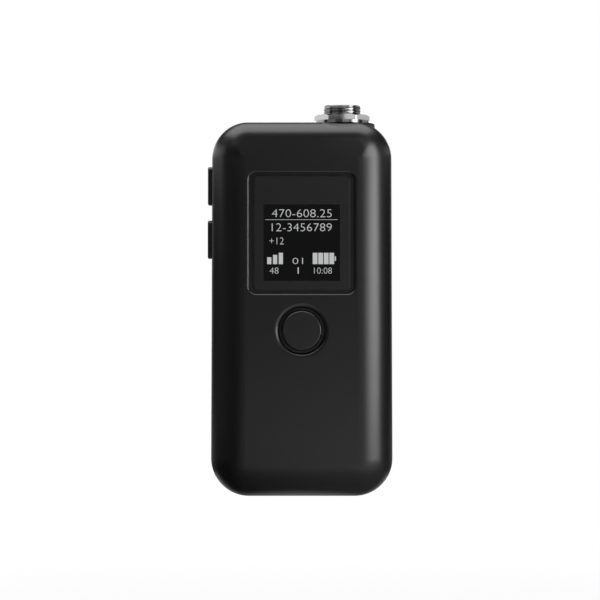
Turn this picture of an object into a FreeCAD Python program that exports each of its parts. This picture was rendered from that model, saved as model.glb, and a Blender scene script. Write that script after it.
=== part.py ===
"""Wireless bodypack transmitter, built as the pieces that it comes apart into.

Millimetres, +Z up. The origin is the middle of the flat bottom. The front, with the display and
the round button, faces -Y, and the belt clip is on +Y.
"""
import FreeCAD, Part
import math
import os
import Sketcher

Vector = FreeCAD.Vector
Rotation = FreeCAD.Rotation
CLOSE = 0.001

doc = FreeCAD.newDocument("bodypack_transmitter")
sheet = doc.addObject("Spreadsheet::Sheet", "Sizes")


# ---------------------------------------------------------------- sizes

class Size:
    """A length that is a number here and a formula of spreadsheet cells in the document."""

    def __init__(self, value, formula):
        self.value = value
        self.formula = formula

    def __add__(self, other):
        other = as_size(other)
        return Size(self.value + other.value, f"({self.formula} + {other.formula})")

    def __radd__(self, other):
        return as_size(other) + self

    def __sub__(self, other):
        other = as_size(other)
        return Size(self.value - other.value, f"({self.formula} - {other.formula})")

    def __rsub__(self, other):
        return as_size(other) - self

    def __mul__(self, other):
        other = as_size(other)
        return Size(self.value * other.value, f"({self.formula} * {other.formula})")

    def __rmul__(self, other):
        return as_size(other) * self

    def __truediv__(self, other):
        other = as_size(other)
        return Size(self.value / other.value, f"({self.formula} / {other.formula})")

    def __neg__(self):
        return Size(-self.value, f"(-{self.formula})")

    def root(self):
        return Size(math.sqrt(self.value), f"sqrt({self.formula})")

    def sine(self):
        return Size(math.sin(math.radians(self.value)), f"sin({self.formula})")

    def cosine(self):
        return Size(math.cos(math.radians(self.value)), f"cos({self.formula})")


def as_size(number):
    if isinstance(number, Size):
        return number
    return Size(float(number), repr(float(number)))


class Sizes:
    """The driving dimensions, each one a row of the spreadsheet."""

    def __init__(self):
        self.rows = 0

    def write(self, rows):
        for alias, number in rows.items():
            self.rows += 1
            sheet.set(f"A{self.rows}", alias)
            sheet.set(f"B{self.rows}", str(number))
            sheet.setAlias(f"B{self.rows}", alias)
            setattr(self, alias, Size(float(number), f"Sizes.{alias}"))


case_sizes = {
    "case_height": 100.0,  # case, bottom to top
    "case_width": 48.8,  # case width where its sides meet the bottom
    "case_depth": 21.0,  # case, front face to back face
    "side_draft": 0.2,  # lean of each side, degrees
    "base_corner": 10.2,  # bottom corners, seen from the front
    "top_corner": 9.7,  # top corners, seen from the front
    "front_round": 9.2,  # rounding between the front and the sides and bottom
    "top_round": 5.0,  # rounding between the front and the top
    "rear_round": 5.0,  # rounding between the back and the sides
    "wall": 1.8,  # case wall
    "rear_inner_round": 2.0,  # inner rounding of the rear shell
    "rear_depth": 4.3,  # rear shell, from the joint of the shells to the back face
    "shell_gap": 0.04,  # paint gap in the joint of the shells
    "seam_bevel": 0.3,  # bevel of the front shell along the joint
}

window_sizes = {
    "window_half_width": 13.95,  # display recess floor, half width
    "window_drop": 13.75,  # display recess floor, upper edge below the top of the case
    "window_length": 31.95,  # display recess floor, lower edge to upper edge
    "window_corner": 1.8,  # display recess floor, corner
    "window_depth": 0.9,  # display recess depth
    "window_lip": 0.6,  # rounded lip round the recess
    "lens_side_gap": 1.05,  # ledge round the lens, at each side
    "lens_end_gap": 0.6,  # ledge round the lens, above and below
    "lens_thickness": 0.6,  # display lens
    "lens_bevel": 0.4,  # bevel of the lens edge
    "lens_corner": 1.4,  # display lens, corner
    "glass_margin": 1.2,  # display glass past its opening, at the sides and below
    "glass_ledge": 3.8,  # display glass past its opening, above
    "glass_thickness": 1.4,  # display glass
    "gasket_thickness": 0.2,  # display gasket
    "sight_half_width": 11.2,  # display opening, half width
    "sight_drop": 7.15,  # display opening, upper edge below the recess's
    "sight_length": 22.2,  # display opening, lower edge to upper edge
    "sight_corner": 0.8,  # display opening, corner
    "holder_wall": 1.4,  # display holder wall
    "holder_depth": 2.5,  # display holder, from the glass to the main board
}

button_sizes = {
    "button_drop": 9.8,  # round button below the lower edge of the display recess
    "button_radius": 5.2,  # round button
    "button_proud": 0.45,  # round button in front of the case
    "button_edge": 0.4,  # round button, rounded edge
    "button_clearance": 0.25,  # gap round the button
    "dish_radius": 7.25,  # dish round the button, at the front
    "dish_lip": 1.25,  # rounded lip of the dish
    "dish_depth": 1.3,  # dish round the button
    "button_travel": 0.4,  # press of the round button
    "button_flange": 0.9,  # how far the button's flange reaches past its hole
    "flange_thickness": 0.8,  # flanges behind the buttons
    "stem_radius": 1.5,  # stem of the round button
    "seal_thickness": 0.25,  # button seals
    "seal_clearance": 0.1,  # gap between a seal and its button
}

key_sizes = {
    "key_drop": 16.75,  # middle of the upper side button below the top of the case
    "key_pitch": 14.4,  # from one side button to the other
    "key_length": 10.3,  # side button
    "key_width": 4.6,  # side button
    "key_setback": 1.9,  # middle of the side buttons behind the middle of the case
    "key_corner": 1.0,  # side button, corner
    "key_proud": 1.16,  # side button beyond the side of the case
    "key_edge": 0.4,  # side button, rounded edge
    "key_clearance": 0.15,  # gap round a side button
    "key_travel": 0.4,  # press of a side button
    "key_flange": 0.6,  # how far a side button's flange reaches past its slot
    "key_stem_radius": 0.8,  # stem of a side button
}

socket_sizes = {
    "socket_inset": 13.56,  # socket axis, in from the right side of the case
    "boss_radius": 8.8,  # round seat of the socket
    "boss_edge": 0.5,  # rounded rim of the seat
    "shoulder_margin": 0.12,  # how much sharper the seat's shoulders are than the case's
    "socket_roof": 3.0,  # thickness of the case under the socket's nut
    "barrel_radius": 5.0,  # threaded barrel, over the thread
    "barrel_height": 4.8,  # barrel above the seat
    "barrel_bevel": 0.3,  # bevel at the barrel's mouth
    "barrel_clearance": 0.1,  # gap between the barrel and its hole
    "mouth_radius": 4.05,  # inside of the socket
    "mouth_length": 1.8,  # plain stretch at the mouth
    "latch_depth": 0.35,  # latch groove
    "latch_length": 0.8,  # latch groove, along the socket
    "keyway_width": 1.2,  # keyway in the barrel
    "flange_radius": 5.9,  # socket flange inside the case
    "socket_flange": 1.2,  # socket flange thickness
    "chamber_clearance": 0.3,  # gap round the socket flange
    "tail_radius": 5.3,  # socket body below its flange
    "tail_length": 8.0,  # socket body below its flange
    "insert_depth": 1.0,  # face of the insulator below the seat
    "insert_clearance": 0.04,  # gap round the insulator
    "insert_length": 9.0,  # insulator
    "contact_radius": 0.5,  # contact pin
    "contact_circle": 2.1,  # circle of the contact pins, radius
    "contact_tip": 1.6,  # tips of the contact pins above the seat
    "contact_tail": 2.0,  # solder tails below the insulator
    "washer_radius": 7.2,  # washer under the nut
    "washer_thickness": 0.8,  # washer under the nut
    "nut_flats": 13.0,  # nut, across its flats
    "nut_turned": 7.4,  # nut corners, turned to this radius
    "nut_thickness": 1.5,  # nut
    "nut_bevel": 0.35,  # bevel of the nut's corners
    "thread_clearance": 0.05,  # gap between the barrel and the nut or washer
}

board_sizes = {
    "board_thickness": 1.0,  # main board
    "board_left_gap": 7.8,  # main board, in from the left side of the case
    "board_right_gap": 5.0,  # main board, in from the right side of the case
    "board_low": 14.0,  # main board, lower edge
    "board_drop": 9.0,  # main board, upper edge below the top of the case
    "shoulder_drop": 16.0,  # main board under the socket, upper edge below the top of the case
    "neck_gap": 0.34,  # gap between the main board and the wall round the socket
    "board_screw_inset": 3.0,  # board screws from the board's edges
    "board_post_radius": 2.1,  # posts that carry the board
    "chip_grid": 1.0,  # grid that the parts on the board are placed and sized by
    "shield_height": 2.2,  # radio shield above the board
    "shield_wall": 0.3,  # radio shield sheet
    "antenna_thickness": 0.5,  # antenna sheet
    "switch_size": 5.6,  # switch behind the round button
    "plunger_gap": 0.1,  # gap left between a pressed button and its switch
    "plunger_height": 0.4,  # plunger of a switch
    "side_switch": 3.4,  # switch behind a side button
    "side_switch_height": 1.5,  # switch behind a side button
    "side_board_thickness": 0.8,  # side button board
    "side_board_margin": 2.6,  # side button board past its switches
    "rib_thickness": 1.2,  # ribs that carry the side button board
    "rib_root": 1.9,  # roots of the ribs behind the front face
}

battery_sizes = {
    "parts_space": 3.6,  # room behind the main board for the parts on it
    "bay_floor": 1.5,  # floor of the battery bay
    "bay_wall": 1.9,  # side wall of the battery bay
    "bay_inset": 5.7,  # inside of the battery bay, in from the sides of the case
    "bay_low": 3.3,  # battery bay, lower end inside
    "bay_drop": 41.4,  # battery bay, upper end inside below the top of the case
    "contact_space": 2.4,  # room above the battery for its contacts
    "bay_end_wall": 1.2,  # end walls of the battery bay
    "bay_corner": 5.6,  # battery bay, lower corners inside
    "battery_clearance": 0.3,  # gap round the battery
    "battery_edge": 0.8,  # battery pack, rounded edge
    "contact_blade": 1.2,  # battery contact blades
    "door_ledge": 0.9,  # battery door past the inside of the bay, at each side
    "door_overlap": 0.8,  # battery door past the upper end of the bay
    "door_thickness": 1.4,  # battery door
    "door_clearance": 0.2,  # gap round the battery door
    "lip_height": 1.8,  # bottom lip of the battery door
    "rail_width": 0.8,  # tongues along the battery door
    "rail_thickness": 0.6,  # tongues along the battery door
    "grip_width": 14.0,  # thumb grooves on the battery door
    "grip_pitch": 1.8,  # thumb grooves on the battery door, spacing
    "grip_depth": 0.4,  # thumb grooves on the battery door
    "grip_count": 5,  # thumb grooves on the battery door
    "pad_thickness": 0.3,  # foam pad on the battery door
}

fastener_sizes = {
    "screw_radius": 0.95,  # case screws, shank
    "screw_head_radius": 1.7,  # case screws, head
    "screw_head_height": 0.8,  # case screws, head
    "screw_clearance": 0.15,  # gap round a screw
    "screw_sink": 0.25,  # heads of the case screws below the surface
    "screw_bite": 5.0,  # length of a case screw in its post
    "post_radius": 1.9,  # posts for the case screws
    "lower_post_side": 12.0,  # lower case screws, to each side
    "lower_post_height": 8.6,  # lower case screws above the bottom
    "upper_post_inset": 5.5,  # upper case screws, in from the sides of the case
    "upper_post_drop": 9.4,  # upper case screws below the top of the case
    "upper_post_root": 2.7,  # roots of the upper posts behind the front face
    "small_screw_radius": 0.8,  # board screws, shank
    "small_head_radius": 1.5,  # board screws, head
    "small_head_height": 0.7,  # board screws, head
    "small_bite": 3.0,  # length of a board screw in its post
    "charge_side": 6.0,  # charging contacts, spacing
    "charge_setback": 2.1,  # charging contacts behind the middle
    "charge_radius": 1.3,  # charging contacts
    "charge_recess": 0.15,  # charging contacts above the flat bottom
}

clip_sizes = {
    "bracket_half_width": 8.6,  # clip bracket, half width
    "bracket_thickness": 1.5,  # clip bracket base
    "bracket_drop": 10.0,  # clip bracket, upper edge below the top of the case
    "bracket_length": 17.0,  # clip bracket, lower edge to upper edge
    "bracket_corner": 2.0,  # clip bracket, corners
    "ear_thickness": 1.4,  # ears of the clip bracket
    "ear_radius": 2.5,  # ears of the clip bracket
    "clip_screw_side": 5.4,  # clip screws, to each side
    "clip_screw_rise": 3.0,  # clip screws above the lower edge of the bracket
    "pin_radius": 1.1,  # clip pin
    "pin_clearance": 0.06,  # gap round the clip pin
    "pin_drop": 7.4,  # clip pin below the upper edge of the bracket
    "pin_standoff": 4.0,  # clip pin behind the back of the case
    "pin_head_radius": 1.7,  # heads of the clip pin
    "pin_head_height": 0.5,  # heads of the clip pin
    "clip_half_width": 10.0,  # belt clip, half width
    "clip_thickness": 1.4,  # belt clip sheet
    "clip_gap": 4.7,  # belt space between the case and the clip
    "tab_length": 10.0,  # thumb tab of the belt clip, from the pin to its upper end
    "clip_length": 68.6,  # belt clip, end to end
    "nose_rise": 5.5,  # clip's nose above its lower end
    "bend_rise": 6.5,  # start of the clip's bend above its nose
    "nose_gap": 1.0,  # gap between the clip's nose and the case
    "tip_flare": 3.2,  # how far the tip turns out again
    "clip_corner": 4.0,  # belt clip, corners
    "clip_edge": 0.35,  # belt clip, rounded edges
    "bend_radius": 1.8,  # belt clip, inside of its bends
    "knuckle_gap": 0.2,  # gap between the clip's knuckles and the ears
    "knuckle_width": 2.2,  # knuckles of the belt clip
    "spring_wire": 0.35,  # clip spring wire, radius
    "spring_radius": 1.75,  # clip spring coil, to the middle of the wire
    "spring_turns": 4,  # clip spring coil
    "spring_pitch": 1.0,  # clip spring coil
}

d = Sizes()
for group in (case_sizes, window_sizes, button_sizes, key_sizes, socket_sizes, board_sizes,
              battery_sizes, fastener_sizes, clip_sizes):
    d.write(group)
doc.recompute()

# Places that follow from the sizes.
beyond = as_size(2.0)
case_side = d.case_width / 2
front = -d.case_depth / 2
back = d.case_depth / 2
inner_front = front + d.wall
inner_back = back - d.wall
parting = back - d.rear_depth
lens_floor = front + d.window_depth
window_high = d.case_height - d.window_drop
window_low = window_high - d.window_length
sight_high = window_high - d.sight_drop
sight_low = sight_high - d.sight_length
glass_half_width = d.sight_half_width + d.glass_margin
glass_low = sight_low - d.glass_margin
glass_high = sight_high + d.glass_ledge
glass_front = inner_front + d.gasket_thickness
glass_back = glass_front + d.glass_thickness
button_height = window_low - d.button_drop
key_upper = d.case_height - d.key_drop
key_lower = key_upper - d.key_pitch
socket_side = case_side - d.socket_inset
board_front = glass_back + d.holder_depth
board_back = board_front + d.board_thickness
board_left = -case_side + d.board_left_gap
board_right = case_side - d.board_right_gap
board_high = d.case_height - d.board_drop
board_shoulder = d.case_height - d.shoulder_drop
shield_low = board_shoulder - d.tail_length
bay_front = board_back + d.parts_space
bay_half_width = case_side - d.bay_inset
bay_high = d.case_height - d.bay_drop
battery_high = bay_high - d.contact_space
door_half_width = bay_half_width + d.door_ledge
bracket_high = d.case_height - d.bracket_drop
bracket_low = bracket_high - d.bracket_length
pin_height = bracket_high - d.pin_drop
clip_top = pin_height + d.tab_length
clip_tip = clip_top - d.clip_length
clip_nose = clip_tip + d.nose_rise
clip_bend = clip_nose + d.bend_rise


# ---------------------------------------------------------------- drawing

def bind(thing, path, size):
    thing.setExpression(path, as_size(size).formula)


def new_body(name):
    body = doc.addObject("PartDesign::Body", name)
    body.Label = name
    return body


def place(body, x, y, z, turn=None):
    """Put a body that was made at its own origin where it belongs."""
    if turn is not None:
        axis, angle = turn
        body.Placement = FreeCAD.Placement(Vector(0, 0, 0), Rotation(axis, angle))
    bind(body, "Placement.Base.x", x)
    bind(body, "Placement.Base.y", y)
    bind(body, "Placement.Base.z", z)


FACING_FRONT = (Vector(1, 0, 0), 90)
FACING_BACK = (Vector(1, 0, 0), -90)
FACING_LEFT = (Vector(0, 1, 0), -90)


def sketch_on(body, name, role, position):
    """A sketch on an origin plane of the body, moved along the plane's axis."""
    sketch = body.newObject("Sketcher::SketchObject", name)
    plane = [item for item in body.Origin.OriginFeatures if item.Role == role][0]
    sketch.AttachmentSupport = [(plane, "")]
    sketch.MapMode = "FlatFace"
    position = as_size(position)
    bind(sketch, "AttachmentOffset.Base.z", -position if role == "XZ_Plane" else position)
    return sketch


def pin_point(sketch, geometry, end, x, y):
    """Hold one point of a sketch at its two coordinates."""
    for kind, size in (("DistanceX", as_size(x)), ("DistanceY", as_size(y))):
        index = sketch.addConstraint(Sketcher.Constraint(kind, -1, 1, geometry, end, size.value))
        sketch.setExpression(f"Constraints[{index}]", size.formula)


def hold_radius(sketch, geometry, radius):
    index = sketch.addConstraint(Sketcher.Constraint("Radius", geometry, radius.value))
    sketch.setExpression(f"Constraints[{index}]", radius.formula)


def arc_between(first, last, radius):
    """The short arc from one point to another, and which of its ends comes first."""
    chord = last - first
    half = chord.Length / 2
    rise = math.sqrt(max(radius.value ** 2 - half ** 2, 0))
    side = Vector(-chord.y, chord.x, 0).normalize()
    if radius.value < 0:
        side = -side
    centre = (first + last) * 0.5 + side * rise
    circle = Part.Circle(centre, Vector(0, 0, 1), abs(radius.value))
    ends = [math.atan2(point.y - centre.y, point.x - centre.x) for point in (first, last)]
    if radius.value < 0:
        return Part.ArcOfCircle(circle, ends[1], ends[0]), 2, 1
    return Part.ArcOfCircle(circle, ends[0], ends[1]), 1, 2


def outline(*steps):
    """A closed outline. A step is the point that a line reaches, or, with a radius, an arc."""
    def draw(sketch):
        corners = [Vector(as_size(step[0]).value, as_size(step[1]).value, 0) for step in steps]
        pieces = []
        for number, step in enumerate(steps):
            start, stop = corners[number - 1], corners[number]
            if len(step) == 2:
                geometry, head, tail = Part.LineSegment(start, stop), 1, 2
            else:
                geometry, head, tail = arc_between(start, stop, as_size(step[2]))
            pieces.append((sketch.addGeometry(geometry, False), head, tail))
        for number, step in enumerate(steps):
            index, head, tail = pieces[number]
            after, after_head, _ = pieces[(number + 1) % len(steps)]
            sketch.addConstraint(Sketcher.Constraint("Coincident", index, tail, after, after_head))
            pin_point(sketch, after, after_head, step[0], step[1])
        for number, step in enumerate(steps):
            if len(step) == 3:
                radius = as_size(step[2])
                hold_radius(sketch, pieces[number][0], radius if radius.value > 0 else -radius)
    return draw


def circle(x, y, radius):
    def draw(sketch):
        size = as_size(radius)
        middle = Vector(as_size(x).value, as_size(y).value, 0)
        geometry = sketch.addGeometry(Part.Circle(middle, Vector(0, 0, 1), size.value), False)
        pin_point(sketch, geometry, 3, x, y)
        hold_radius(sketch, geometry, size)
    return draw


def rectangle(left, right, low, high, corner=None, low_corner=None):
    """A rectangle. Its corners may be rounded, all of them or the lower two apart."""
    if corner is None and low_corner is None:
        return outline((left, low), (right, low), (right, high), (left, high))
    under = low_corner if low_corner is not None else corner
    if corner is None:
        return outline((right - under, low), (right, low + under, under), (right, high),
                       (left, high), (left, low + under), (left + under, low, under))
    return outline((right - under, low), (right, low + under, under),
                   (right, high - corner), (right - corner, high, corner),
                   (left + corner, high), (left, high - corner, corner),
                   (left, low + under), (left + under, low, under))


def both(*drawings):
    def draw(sketch):
        for drawing in drawings:
            drawing(sketch)
    return draw


# ---------------------------------------------------------------- features

def add(body, name, role, low, high, drawing):
    """Pad a drawing between two places along the axis of its plane."""
    low, high = as_size(low), as_size(high)
    sketch = sketch_on(body, name + "_outline", role, high if role == "XZ_Plane" else low)
    drawing(sketch)
    pad = body.newObject("PartDesign::Pad", name)
    pad.Profile = sketch
    bind(pad, "Length", high - low)
    return pad


def cut(body, name, role, low, high, drawing):
    """Pocket a drawing between two places along the axis of its plane."""
    low, high = as_size(low), as_size(high)
    sketch = sketch_on(body, name + "_outline", role, low if role == "XZ_Plane" else high)
    drawing(sketch)
    pocket = body.newObject("PartDesign::Pocket", name)
    pocket.Profile = sketch
    bind(pocket, "Length", high - low)
    return pocket


def turned(body, name, drawing, kind="PartDesign::Revolution"):
    """Turn a drawing on the XZ plane about the body's Z axis."""
    sketch = sketch_on(body, name + "_profile", "XZ_Plane", 0)
    drawing(sketch)
    feature = body.newObject(kind, name)
    feature.Profile = sketch
    feature.ReferenceAxis = (sketch, ["V_Axis"])
    feature.Angle = 360
    return feature


def edges_in_plane(feature, axis, place_on_axis, wanted=lambda edge: True):
    """Names of the edges that lie in a plane square to an axis."""
    doc.recompute()
    names = []
    for number, edge in enumerate(feature.Shape.Edges, start=1):
        box = edge.BoundBox
        reach = {"x": (box.XMin, box.XMax), "y": (box.YMin, box.YMax), "z": (box.ZMin, box.ZMax)}[axis]
        if all(abs(end - place_on_axis.value) < CLOSE for end in reach) and wanted(edge):
            names.append(f"Edge{number}")
    return names


def edges_across(feature, places):
    """Names of the edges that run from side to side through given points of the YZ plane."""
    names = []
    for y, z in places:
        crossing = edges_in_plane(feature, "y", y)
        names += [name for name in edges_in_plane(feature, "z", z) if name in crossing]
    return names


def rounded(body, name, feature, edges, radius):
    fillet = body.newObject("PartDesign::Fillet", name)
    fillet.Base = (feature, edges)
    bind(fillet, "Radius", radius)
    return fillet


def bevelled(body, name, feature, edges, size):
    chamfer = body.newObject("PartDesign::Chamfer", name)
    chamfer.Base = (feature, edges)
    bind(chamfer, "Size", size)
    return chamfer


def gathered(name, pieces):
    """Several separate pieces of one kind, kept together as one node."""
    group = doc.addObject("Part::Compound", name)
    group.Label = name
    group.Links = pieces
    return group


# ---------------------------------------------------------------- case form

def case_outline(inset):
    """The case from the front, drawn in by an inset. All its corners keep their centres."""
    inset = as_size(inset)
    lean_sine, lean_cosine = d.side_draft.sine(), d.side_draft.cosine()
    lean = lean_sine / lean_cosine
    low, high = d.base_corner, d.case_height - d.top_corner
    low_side = d.case_width / 2 - low * lean - d.base_corner / lean_cosine
    high_side = d.case_width / 2 - high * lean - d.top_corner / lean_cosine
    low_radius, high_radius = d.base_corner - inset, d.top_corner - inset
    low_reach = low_side + low_radius * lean_cosine
    high_reach = high_side + high_radius * lean_cosine
    low_meet = low + low_radius * lean_sine
    high_meet = high + high_radius * lean_sine
    return outline((low_side, inset), (low_reach, low_meet, low_radius),
                   (high_reach, high_meet), (high_side, d.case_height - inset, high_radius),
                   (-high_side, d.case_height - inset), (-high_reach, high_meet, high_radius),
                   (-low_reach, low_meet), (-low_side, inset, low_radius))


def case_half_width(height):
    lean = d.side_draft.sine() / d.side_draft.cosine()
    return d.case_width / 2 - height * lean


def case_form(body):
    """The outside of the whole case: a leaning block with a soft front and a tighter back.

    The rounding of the front is wide along the sides and the bottom. Round the upper corners it
    narrows, so that the top is flat up to the socket's washer."""
    core = new_body(body.Label + "_block")
    add(core, "block", "XZ_Plane", front, back, case_outline(0))
    rounding = []
    for name in edges_in_plane(core, "y", front):
        edge = core.Shape.getElement(name)
        radii = [d.top_round.value if edge.valueAt(end).z > d.case_height.value - CLOSE
                 else d.front_round.value for end in edge.ParameterRange]
        rounding.append((int(name.removeprefix("Edge")), *radii))
    soft = doc.addObject("Part::Fillet", body.Label + "_soft_front")
    soft.Base = core
    soft.Edges = rounding
    body.BaseFeature = soft
    doc.recompute()
    return rounded(body, "soft_back", body.Tip, edges_in_plane(body.Tip, "y", back), d.rear_round)


def socket_seat(body):
    """The round seat that fills the case's corner up to its top, with the case's own shoulders."""
    foot = d.case_height - d.top_corner
    sketch = sketch_on(body, "seat_profile", "XZ_Plane", 0)
    outline((socket_side, foot), (socket_side + d.boss_radius, foot),
            (socket_side + d.boss_radius, d.case_height - d.boss_edge),
            (socket_side + d.boss_radius - d.boss_edge, d.case_height, d.boss_edge),
            (socket_side, d.case_height))(sketch)
    below = foot - beyond
    axis = sketch.addGeometry(Part.LineSegment(Vector(socket_side.value, below.value, 0),
                                               Vector(socket_side.value, foot.value, 0)), True)
    pin_point(sketch, axis, 1, socket_side, below)
    pin_point(sketch, axis, 2, socket_side, foot)
    seat = body.newObject("PartDesign::Revolution", "seat")
    seat.Profile = sketch
    seat.ReferenceAxis = (sketch, ["Axis0"])
    seat.Angle = 360
    for name, side, face, case_radius in (("front_shoulder", -1, front, d.top_round),
                                          ("rear_shoulder", 1, back, d.rear_round)):
        radius = case_radius - d.shoulder_margin
        edge = face + side * beyond
        start = face - side * radius
        roof = d.case_height + beyond
        sign = 1 if side > 0 else -1
        cut(body, name, "YZ_Plane", socket_side - d.boss_radius - beyond,
            socket_side + d.boss_radius + beyond,
            outline((face, d.case_height - radius), (start, d.case_height, sign * radius),
                    (start, roof), (edge, roof), (edge, d.case_height - radius)))


def keep_between(body, name, low, high):
    """Cut away what lies in front of one plane or behind another."""
    wide = d.case_width
    far = rectangle(-wide, wide, -wide, d.case_height + wide)
    if low is not None:
        cut(body, name + "_front", "XZ_Plane", front - beyond, low, far)
    if high is not None:
        cut(body, name + "_back", "XZ_Plane", high, back + beyond, far)


# ---------------------------------------------------------------- shells

post_root = inner_front - d.wall / 3
lower_posts = [(side * d.lower_post_side, d.lower_post_height) for side in (-1, 1)]
upper_posts = [(side * (case_side - d.upper_post_inset), d.case_height - d.upper_post_drop)
               for side in (-1, 1)]
board_screws = [(board_left + d.board_screw_inset, d.board_low + d.board_screw_inset),
                (board_right - d.board_screw_inset, d.board_low + d.board_screw_inset),
                (board_right - d.board_screw_inset, board_shoulder - d.board_screw_inset),
                (board_left + d.board_screw_inset, board_high - d.board_screw_inset)]
clip_screws = [(side * d.clip_screw_side, bracket_low + d.clip_screw_rise) for side in (-1, 1)]
charge_places = [(place * d.charge_side, d.charge_setback) for place in (-1, 0, 1)]
keys = [("upper", key_upper), ("lower", key_lower)]
side_board_low = key_lower - d.side_switch / 2 - d.side_board_margin
side_board_high = key_upper + d.side_switch / 2 + d.side_board_margin
key_back = case_half_width(key_upper + d.key_length / 2 + d.key_flange) - d.wall
key_rest = key_back - d.seal_thickness - d.seal_clearance
key_stem_end = key_rest - d.flange_thickness
switch_top = key_stem_end - d.key_travel - d.plunger_gap
side_board_face = switch_top - d.plunger_height - d.side_switch_height
side_board_back = side_board_face - d.side_board_thickness
side_board_front = d.key_setback - d.key_width / 2 - d.key_flange - d.rib_thickness / 2
chamber_radius = d.flange_radius + d.chamber_clearance
chamber_wall = chamber_radius + d.wall / 2
chamber_roof = d.case_height - d.socket_roof
board_neck = socket_side - chamber_wall - d.neck_gap
door_top = bay_high + d.door_overlap
front_face = parting - d.shell_gap / 2
rear_face = parting + d.shell_gap / 2


def circles(places, radius):
    return both(*[circle(x, y, radius) for x, y in places])


def inside_window(edge):
    box = edge.BoundBox
    reach = d.window_half_width.value + 0.01
    return (-reach < box.XMin and box.XMax < reach
            and window_low.value - 0.01 < box.ZMin and box.ZMax < window_high.value + 0.01)


def inside_dish(edge):
    box = edge.BoundBox
    top = button_height.value + d.dish_radius.value
    return box.ZMax < top and box.ZMin > top - 2 * d.dish_radius.value and box.XMax < d.dish_radius.value


def front_case():
    body = new_body("front_case")
    case_form(body)
    keep_between(body, "half", None, front_face)
    bevelled(body, "seam_bevel", body.Tip, edges_in_plane(body.Tip, "y", front_face), d.seam_bevel)
    socket_seat(body)
    cavity = new_body("front_cavity")
    block = add(cavity, "cavity_block", "XZ_Plane", inner_front, back + beyond, case_outline(d.wall))
    rounded(cavity, "soft_cavity", block, edges_in_plane(block, "y", inner_front), d.front_round - d.wall)
    hollow = body.newObject("PartDesign::Boolean", "hollow")
    hollow.setObjects([cavity])
    hollow.Type = "Cut"

    # The socket hangs in a round chamber under its seat.
    add(body, "chamber_wall", "XY_Plane", chamber_roof - d.socket_flange * 2, d.case_height - d.wall / 2,
        circle(socket_side, 0, chamber_wall))
    cut(body, "chamber", "XY_Plane", chamber_roof - d.tail_length * 2, chamber_roof,
        circle(socket_side, 0, chamber_radius))
    cut(body, "socket_hole", "XY_Plane", chamber_roof - beyond, d.case_height + beyond,
        circle(socket_side, 0, d.barrel_radius + d.barrel_clearance))

    # Posts for the screws of the board and of the rear shell, and ribs for the side board.
    add(body, "board_posts", "XZ_Plane", post_root, board_front,
        circles(board_screws, d.board_post_radius))
    add(body, "lower_posts", "XZ_Plane", post_root, bay_front - d.shell_gap,
        circles(lower_posts, d.post_radius))
    add(body, "upper_posts", "XZ_Plane", front + d.upper_post_root, parting + d.wall,
        circles(upper_posts, d.post_radius))
    rib_places = (side_board_low + d.side_board_margin / 2, side_board_high - d.side_board_margin / 2)
    ribs = [rectangle(-side_board_face - d.rib_thickness, -side_board_back + d.rib_thickness,
                      place - d.rib_thickness / 2, place + d.rib_thickness / 2) for place in rib_places]
    add(body, "ribs", "XZ_Plane", front + d.rib_root, side_board_front + d.rib_thickness, both(*ribs))
    cut(body, "rib_slots", "XZ_Plane", side_board_front, parting,
        rectangle(-side_board_face, -side_board_back, side_board_low, side_board_high))

    # Display recess with its rounded lip, and the opening behind the lens.
    recess = cut(body, "recess", "XZ_Plane", front - beyond, lens_floor,
                 rectangle(-d.window_half_width, d.window_half_width, window_low, window_high,
                           d.window_corner))
    rounded(body, "recess_lip", recess, edges_in_plane(recess, "y", front, inside_window), d.window_lip)
    cut(body, "sight", "XZ_Plane", front - beyond, inner_front + d.wall / 2,
        rectangle(-d.sight_half_width, d.sight_half_width, sight_low, sight_high, d.sight_corner))

    # Dish and hole of the round button, and slots of the side buttons.
    dish = cut(body, "dish", "XZ_Plane", front - beyond, front + d.dish_depth,
               circle(0, button_height, d.dish_radius - d.dish_lip))
    rounded(body, "dish_lip", dish, edges_in_plane(dish, "y", front, inside_dish), d.dish_lip)
    cut(body, "button_hole", "XZ_Plane", front - beyond, inner_front + d.wall / 2,
        circle(0, button_height, d.button_radius + d.button_clearance))
    half_width = d.key_width / 2 + d.key_clearance
    half_length = d.key_length / 2 + d.key_clearance
    slots = [rectangle(d.key_setback - half_width, d.key_setback + half_width,
                       height - half_length, height + half_length, d.key_corner) for _, height in keys]
    cut(body, "key_slots", "YZ_Plane", -d.case_width / 2 - beyond, -key_back + d.wall / 2, both(*slots))

    cut(body, "charge_holes", "XY_Plane", -beyond, d.wall + beyond,
        circles(charge_places, d.charge_radius + d.screw_clearance / 3))
    cut(body, "board_pilots", "XZ_Plane", board_front - d.small_bite, board_front + beyond,
        circles(board_screws, d.small_screw_radius))
    cut(body, "lower_pilots", "XZ_Plane", bay_front - d.screw_bite, bay_front + beyond,
        circles(lower_posts, d.screw_radius))
    cut(body, "upper_pilots", "XZ_Plane", parting - d.screw_bite, parting + beyond,
        circles(upper_posts, d.screw_radius))
    keep_between(body, "inside_half", None, front_face)
    return body


bay_outer_half = bay_half_width + d.bay_wall
bay_floor_top = bay_front + d.bay_floor
groove_half = door_half_width + d.rail_width + d.door_clearance
door_inner = back - d.door_thickness
rail_back = door_inner + d.rail_thickness
upper_screw_seat = back - d.screw_head_height - d.screw_sink
lower_screw_seat = bay_floor_top - d.screw_head_height - d.screw_clearance


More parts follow.
